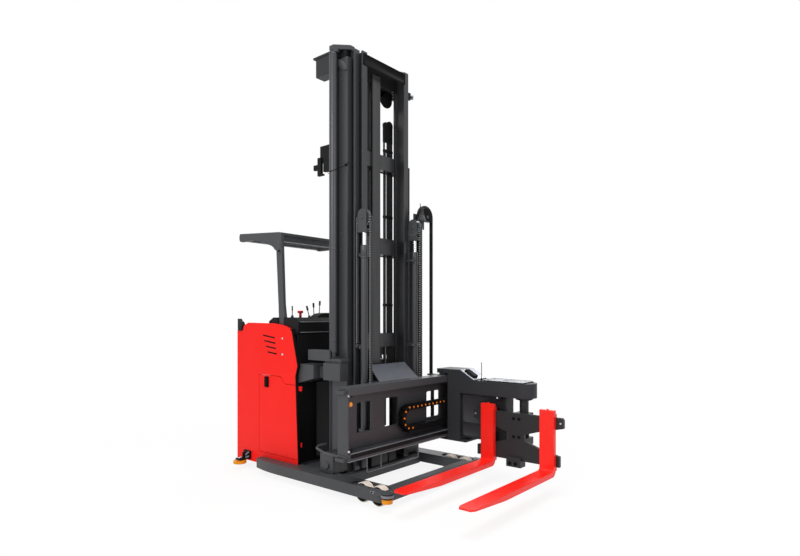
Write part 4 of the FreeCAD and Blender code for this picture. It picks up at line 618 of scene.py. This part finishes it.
# ---- leaf chains -----------------------------------------------------------
def leaf(pitch):
    """One pitch of leaf chain: oval side plates that alternate by half a pitch."""
    plates = []
    for number, y in enumerate((-9, -4.5, 0, 4.5, 9)):
        clear()
        bpy.ops.mesh.primitive_cylinder_add(vertices=10, radius=0.0068, depth=0.0036,
                                            rotation=(math.pi / 2, 0, 0))
        plate = bpy.context.object
        long = 1.85 * pitch / 0.025
        plate.scale = (1, long, 1)
        plate.location = (0, y * MM, pitch * 0.5 * (number % 2))
        apply_place(plate)
        plates.append(plate)
    return join(plates)


front_lo, front_hi = lo_hi("chain_front_falls")
rear_lo, rear_hi = lo_hi("chain_rear_falls")
HALF_PLATE, HALF_STRAND = 0.007, 0.011   # half of a plate's depth and of a strand's width
chain_x = (front_hi.x + front_lo.x) / 2
chain_y = rear_hi.y - HALF_STRAND
sheave_r = (front_hi.x - front_lo.x) / 2 - HALF_PLATE
sheave_z, anchor_z = rear_hi.z, rear_lo.z
carriage_z = front_lo.z
PITCH = 0.0200
END_GAP = 0.006                      # lowest link stands this far above the chain's end


def chain_run(x, low, high):
    """Place of each link along one straight fall of both chains, from the top down."""
    count = int((high - low - 0.004) / PITCH)
    return [Matrix.Translation((x, side * chain_y, high - PITCH * (k + 1)))
            for k in range(count) for side in (-1, 1)]


front_places = chain_run(chain_x + sheave_r, carriage_z + END_GAP, sheave_z)
turns = int(math.pi * sheave_r / PITCH)
for k in range(turns + 1):
    angle = math.pi * k / turns
    for side in (-1, 1):
        turned = Matrix.Translation((chain_x, side * chain_y, sheave_z)) @ Matrix.Rotation(-angle, 4, "Y")
        front_places.append(turned @ Matrix.Translation((-sheave_r, 0, 0)))
rear_places = chain_run(chain_x - sheave_r, anchor_z + END_GAP, sheave_z)


def chain_pin():
    """Riveted pin across the plates."""
    return bar((0, -0.0145, 0), (0, 0.0145, 0), 0.0042, 0.0, 8)


for name, places, bodies, x, low, node in (
        ("front", front_places, ("freelift", "carriage"), chain_x + sheave_r, carriage_z,
         "chain_front_falls"),
        ("rear", rear_places, ("inner_stage", "freelift"), chain_x - sheave_r, anchor_z, "chain_rear_falls")):
    plates = dress(spread(leaf(PITCH), places), "leaf_chain_" + name, "chain")
    pins = dress(spread(chain_pin(), places), "chain_pins_" + name, "pale")
    for piece in (plates, pins):
        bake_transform(piece)
    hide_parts(node)
# toothed strip beside the far chain: one lug to each link
lug_places = [m for m in front_places if m.translation.y > 0 and m.translation.z < sheave_z - 0.02]
lug = bar((0.004, -0.016, 0), (0.004, -0.038, 0), 0.0032, 0.0, 8)
lugs = dress(spread(lug, lug_places), "chain_lugs_far", "trim")
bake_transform(lugs)

# ---- free lift -------------------------------------------------------------
FREELIFT_X, FREELIFT_Y = -490, 332   # axis of the left free-lift cylinder
for hand, side in HANDS:
    x, y = FREELIFT_X, side * FREELIFT_Y
    collar = [bar(at(x, y, 1902), at(x, y, 1991), 0.0318, 0.003, 40),
              bar(at(x, y, 1884), at(x, y, 1900), 0.0345, 0.004, 40)]
    finish(join(collar), "freelift_collar_" + hand, "mast", "inner_stage")
# face of the hose guide: a disc cut flat below
face = bar(at(-467, 485, 2330), at(-462, 485, 2330), 0.083, 0.002, 48)
pick_faces(face, lambda c, n: True)
bpy.ops.mesh.bisect(plane_co=at(-465, 485, 2292), plane_no=(0, 0, -1), use_fill=True, clear_outer=True)
leave_edit()
finish(face, "hose_guide_face", "seal", "freelift")
# folded guard in front of the hose guide, its spike and the bright clamps beside it
clear()
bpy.ops.mesh.primitive_cylinder_add(vertices=3, radius=0.084, depth=0.006, location=at(-452, 400, 2322),
                                    rotation=(math.radians(90), 0, math.radians(90)))
guard = bpy.context.object
guard.scale = (0.92, 1.0, 1.0)
apply_place(guard)
bevelled(guard, 0.002)
sunk(guard, facing(X), 0.010, -0.001)
finish(guard, "hose_guide_guard", "grey", "freelift")
spike = join([bar(at(-452, 372, 2375), at(-452, 366, 2436), 0.0035, 0.001, 10),
              bar(at(-465, 400, 2300), at(-448, 400, 2300), 0.009, 0.002, 16)])
finish(spike, "guide_spike", "seal", "freelift")
clamps = [block(at(-445, y, z), at(-437, y + 34, z + 16), 0.003)
          for y, z in ((304, 2252), (330, 2226), (352, 2196))]
finish(join(clamps), "hose_clamps", "zinc", "freelift")

# ---- carriage and traverse frame -------------------------------------------
# lining inside the frame, open where the windows are
LINING_X, LINING_T = -399.7 + 15, 0.002
LINING_LOW, LINING_TOP = 0.377, 0.811
WINDOW_LOW, WINDOW_TOP = 0.496, 0.731
lining_x = at(LINING_X, 0, 0).x
plates = [block((lining_x, y0 * MM, LINING_LOW), (lining_x + LINING_T, y1 * MM, LINING_TOP), 0.0)
          for y0, y1 in ((-703, -530), (-360, -200), (-30, 370), (570, 703))]
for y0, y1 in ((-530, -360), (-200, -30), (370, 570)):
    plates += [block((lining_x, y0 * MM, z0), (lining_x + LINING_T, y1 * MM, z1), 0.0)
               for z0, z1 in ((LINING_LOW, WINDOW_LOW), (WINDOW_TOP, LINING_TOP))]
finish(join(plates), "frame_lining", "grey", "carriage")
# black strip on the lower rail's front face: painted shade of the groove there
groove = block(at(-281, -700, 341), at(-278.5, 700, 372), 0.001)
finish(groove, "lower_rail_groove_painted_shade", "black", "carriage")
bolts("end_bolts", "carriage", (1, 0, 0), [at(-292, side * 712.5, z) for z in (813, 395) for side in (-1, 1)],
      0.0105, 0.010)
stops = [block(at(-322, side * 703, z), at(-284, side * 676, z + 26), 0.004)
         for z in (799, 383) for side in (-1, 1)]
finish(join(stops), "travel_stops", "seal", "carriage")
# light bars along the frame's rails, painted highlights on the rolled lip above the groove and on the lower
# lip's edge
painted_lip_highlights = [bar(at(x, -reach, z), at(x, reach, z), radius, 0.001, 12)
        for x, reach, z, radius in ((-281, 700, 376, 0.0035), (-282, 722, 320, 0.004))]
finish(join(painted_lip_highlights), "rail_painted_lip_highlights", "trim", "carriage")
# bent bar under the frame's near end, and the light rods of the guard below the frame
bumper = [at(-300, -722, 346), at(-560, -716, 352), at(-668, -690, 366), at(-700, -640, 372),
          at(-700, -560, 372)]
bumper = [bar(a, b, 0.0095, 0.003, 20) for a, b in zip(bumper, bumper[1:])]
finish(join(bumper), "end_bumper", "grey", "carriage")
ROD_X, ROD_LOW, ROD_TOP, ROD_YS = -407, 157, 318, (-388, -219, 276)
runs = [(ROD_YS[0], ROD_LOW, ROD_YS[-1], ROD_LOW)] + [(y, ROD_LOW, y, ROD_TOP) for y in ROD_YS]
rods = [bar(at(ROD_X, y0, z0), at(ROD_X, y1, z1), 0.0062, 0.001, 14) for y0, z0, y1, z1 in runs]
finish(join(rods), "foot_guard_rods", "trim", "carriage")
# marker lamp: a dome with its near side drawn out flat
clear()
bpy.ops.mesh.primitive_uv_sphere_add(segments=28, ring_count=14, radius=0.021, location=at(-312, -676, 744))
dome = bpy.context.object
apply_place(dome)
pick_faces(dome, lambda c, n: c.y < at(0, -698, 0).y)
bpy.ops.mesh.extrude_region_move(TRANSFORM_OT_translate={"value": (0, -0.006, 0)})
leave_edit()
bevelled(dome, 0)
finish(dome, "marker_lamp", "amber", "carriage")

# energy chain: open links along the loop, with a pin at each joint
turn_y, loop_z = 0.050, (links_lo.z + 0.008 + links_hi.z) / 2   # middle of the half turn
loop_out, loop_in = 0.110, 0.066
pin_r = (loop_out + loop_in) / 2
end_y = links_hi.y
link_pitch = 0.055
LINK_W = 0.062
x_mid = (links_hi.x - LINK_W + links_hi.x) / 2


def link_places():
    """Each link's turn and place along upper run, half turn and lower run."""
    straight = end_y - turn_y
    total = 2 * straight + math.pi * pin_r
    places = []
    for k in range(int(total / link_pitch)):
        s = (k + 0.5) * link_pitch
        if s < straight:
            y, z, angle = end_y - s, loop_z + pin_r, 0.0
        elif s < straight + math.pi * pin_r:
            angle = (s - straight) / pin_r
            y, z = turn_y - pin_r * math.sin(angle), loop_z + pin_r * math.cos(angle)
        else:
            y, z, angle = turn_y + s - straight - math.pi * pin_r, loop_z - pin_r, math.pi
        places.append(Matrix.Translation((x_mid, y, z)) @ Matrix.Rotation(angle, 4, "X"))
    return places


link = block((-0.031, -0.0262, -0.0215), (0.031, 0.0262, 0.0215), 0.0060, 3)
for way in (-1, 1):
    sunk(link, facing(X, way, 0.95), 0.006, -0.003)
chain = spread(link, link_places())
finish(chain, "energy_links", "seal", "carriage")
# pins show on the upper run, round the turn and on the first links below
shown = [m @ Matrix.Translation((0, link_pitch / 2, 0)) for m in link_places()]
shown = shown[:int((end_y - turn_y + math.pi * pin_r) / link_pitch) + 2]
peg = bar((0.026, 0, 0), (0.0330, 0, 0), 0.0088, 0.001, 14)
finish(spread(peg, shown), "energy_pins", "pin", "carriage")
tray = block(at(-384, 30, 424), at(-300, 523, 436.5), 0.001)
finish(tray, "link_tray", "black", "carriage")
# two hoses that hang behind the frame's far window
tails = [bar(at(-420, y, 440), at(-420, y, 870), 0.010, 0.001, 14) for y in (497, 520)]
finish(join(tails), "frame_hose_tails", "hose", "carriage")
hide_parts("energy_chain")

# ---- turret head -----------------------------------------------------------
FORK_X, HEAD_Y = 441.5, 650          # axis that the forks swivel about
side_y = HEAD_Y - 60
for number, (z0, z1) in enumerate(((334, 452), (454, 714))):
    lid = block(at(-136, side_y - 2.5, z0), at(300, side_y + 1, z1), 0.001)
    sunk(lid, facing(Y, -1), 0.006, -0.0003)
    finish(lid, f"box_lid_{number}", "head", "head")
bolts("lid_screws", "head", (0, -1, 0),
      [at(x, side_y - 2.5, z) for x in (-122, 84, 288) for z in (346, 440, 466, 700)], 0.005, 0.002, "plate")
bolts("arm_screws", "head", (0, 0, 1), [at(x, y, 853) for x in (108, 250, 280, 466) for y in (572, 728)],
      0.006, 0.004, "mast")
# pale cover on the slope, the device on it, and covers along the arm
tilt = Matrix.Translation(at(-64, HEAD_Y, 887.5)) @ Matrix.Rotation(math.atan2(85, 148), 4, "Y")
slope = block((-0.082, -0.105, -0.001), (0.082, 0.105, 0.006), 0.002)
sunk(slope, facing(Z), 0.004, -0.0004)
slope.data.transform(tilt)
finish(slope, "slope_cover", "white", "head")
device = block((-0.048, -0.090, 0.004), (0.064, -0.028, 0.030), 0.004)
sunk(device, facing(Z), 0.004, -0.001)
device.data.transform(tilt)
finish(device, "slope_device", "seal", "head")
for number, (x0, x1) in enumerate(((95, 262), (266, 481))):
    lid = block(at(x0, 557, 852.6), at(x1, 743, 854.2), 0.0006)
    sunk(lid, facing(Z), 0.010, -0.0004)
    finish(lid, f"arm_cover_{number}", "pale", "head")
lens = bar(at(245, 542, 711), at(245, 539, 711), 0.008, 0.001, 24)
finish(lens, "camera_lens", "glass", "head")
collar = bar(at(FORK_X, HEAD_Y, 700), at(FORK_X, HEAD_Y, 716), 0.058, 0.003, 48)
finish(collar, "shaft_collar", "plate", "head")
sleeve = bar(at(FORK_X, HEAD_Y, 394), at(FORK_X, HEAD_Y, 514), 0.0415, 0.002, 48)
finish(sleeve, "shaft_sleeve", "black", "forks")

# ---- fork plate and forks --------------------------------------------------
PLATE_Y = 512                        # near face of the fork plate
bolts("plate_bolt_heads", "forks", (0, -1, 0),
      [at(FORK_X + dx, PLATE_Y, z) for dx in (-25, 25) for z in (560, 409)], 0.0125, 0.008, "seal")
bolts("stop_bolts", "forks", (0, -1, 0), [at(x, 486, 190) for x in (395, 448)], 0.016, 0.006, "seal")
bolts("tip_studs", "forks", (0, -1, 0), [at(FORK_X + dx, PLATE_Y, 564) for dx in (-394, 388)], 0.008, 0.003)

# ---- between the mast's feet -----------------------------------------------
valve = [block(at(-650, -150, 116), at(-575, 60, 292), 0.004),
         block(at(-640, 80, 116), at(-580, 180, 230), 0.004)]
valve += [bar(at(-612, y, 290), at(-612, y, 318), 0.014, 0.002, 20) for y in (-110, -60, -10, 30)]
finish(join(valve), "valve_block", "plate", "chassis")

# ---- floor, light, camera --------------------------------------------------
scene.view_settings.view_transform = "Standard"


def seen_white(tree, lit, seen, white=None):
    """Mix in plain white, or a share of it, where the camera, a mirror or a clear surface looks."""
    rays = add(tree, "ShaderNodeLightPath")
    some = add(tree, "ShaderNodeMath", {"operation": "MAXIMUM"})
    tree.links.new(rays.outputs["Is Camera Ray"], some.inputs[0])
    tree.links.new(rays.outputs["Is Glossy Ray"], some.inputs[1])
    more = add(tree, "ShaderNodeMath", {"operation": "MAXIMUM"})
    tree.links.new(some.outputs[0], more.inputs[0])
    tree.links.new(rays.outputs["Is Transmission Ray"], more.inputs[1])
    share = add(tree, "ShaderNodeMath", {"operation": "MULTIPLY"})
    tree.links.new(more.outputs[0], share.inputs[0])
    share.inputs[1].default_value = 1.0
    if white:
        tree.links.new(white, share.inputs[1])
    mix = add(tree, "ShaderNodeMixShader")
    tree.links.new(share.outputs[0], mix.inputs[0])
    tree.links.new(lit, mix.inputs[1])
    tree.links.new(seen, mix.inputs[2])
    return mix


clear()
bpy.ops.mesh.primitive_plane_add(size=80, location=(0, 0, 0))
floor = bpy.context.object
floor.name = "floor"
floor_paint = bpy.data.materials.new("pale_floor")
floor_paint.use_nodes = True
tree = floor_paint.node_tree
shader = tree.nodes["Principled BSDF"]
shader.inputs["Base Color"].default_value = linear("F4F4F4")
shader.inputs["Roughness"].default_value = 0.9
glow = add(tree, "ShaderNodeEmission", {"Color": linear("FFFFFF"), "Strength": 1.0})
# the shadow fades out a few metres from the truck, where floor and backdrop meet without a line
place = add(tree, "ShaderNodeTexCoord").outputs["Object"]
far = add(tree, "ShaderNodeVectorMath", {"operation": "LENGTH"})
tree.links.new(place, far.inputs[0])
SHADOW_FULL, SHADOW_GONE = 1.6, 4.2  # distances from the middle, in metres
white = add(tree, "ShaderNodeMapRange",
            {"From Min": SHADOW_FULL, "From Max": SHADOW_GONE, "To Min": 0.88, "To Max": 1.0},
            Value=far.outputs["Value"])
mix = seen_white(tree, shader.outputs[0], glow.outputs[0], white.outputs["Result"])
tree.links.new(mix.outputs[0], tree.nodes["Material Output"].inputs["Surface"])
floor.data.materials.append(floor_paint)

SKY_STRENGTH = 0.30
world = bpy.data.worlds.new("studio")
scene.world = world
world.use_nodes = True
tree = world.node_tree
back = tree.nodes["Background"]
back.inputs["Color"].default_value = linear("FFFFFF")
back.inputs["Strength"].default_value = SKY_STRENGTH
seen = add(tree, "ShaderNodeBackground", {"Color": linear("FFFFFF"), "Strength": 1.0})
mix = seen_white(tree, back.outputs[0], seen.outputs[0])
tree.links.new(mix.outputs[0], tree.nodes["World Output"].inputs["Surface"])


def lamp(name, place, aim, size, watts):
    """Square soft light at a place, turned to a point."""
    light = bpy.data.lights.new(name, "AREA")
    light.shape = "SQUARE"
    light.size = size
    light.energy = watts
    holder = bpy.data.objects.new(name, light)
    scene.collection.objects.link(holder)
    holder.location = place
    holder.rotation_euler = (Vector(aim) - Vector(place)).to_track_quat("-Z", "Y").to_euler()


lamp("key_light", (1.0, -6.5, 4.2), (0, 0, 1.2), 2.5, 180)
lamp("front_light", (6.0, -1.5, 3.4), (0, 0, 1.4), 2.5, 70)
lamp("back_light", (-2.5, 5.5, 4.5), (0, 0, 1.5), 3.0, 110)
lamp("top_light", (0.3, -0.3, 8.5), (0, 0, 0.5), 4.0, 460)

EYE, EYE_TURN = (3.290, -3.729, 1.390), 39.84   # metres, and degrees anticlockwise from +Y
LENS, LENS_SHIFT = 25.64, 0.0507
camera = bpy.data.cameras.new("camera")
camera.lens, camera.shift_y = LENS, LENS_SHIFT
eye = bpy.data.objects.new("camera", camera)
scene.collection.objects.link(eye)
eye.location = EYE
eye.rotation_euler = (math.radians(90), 0, math.radians(EYE_TURN))
scene.camera = eye
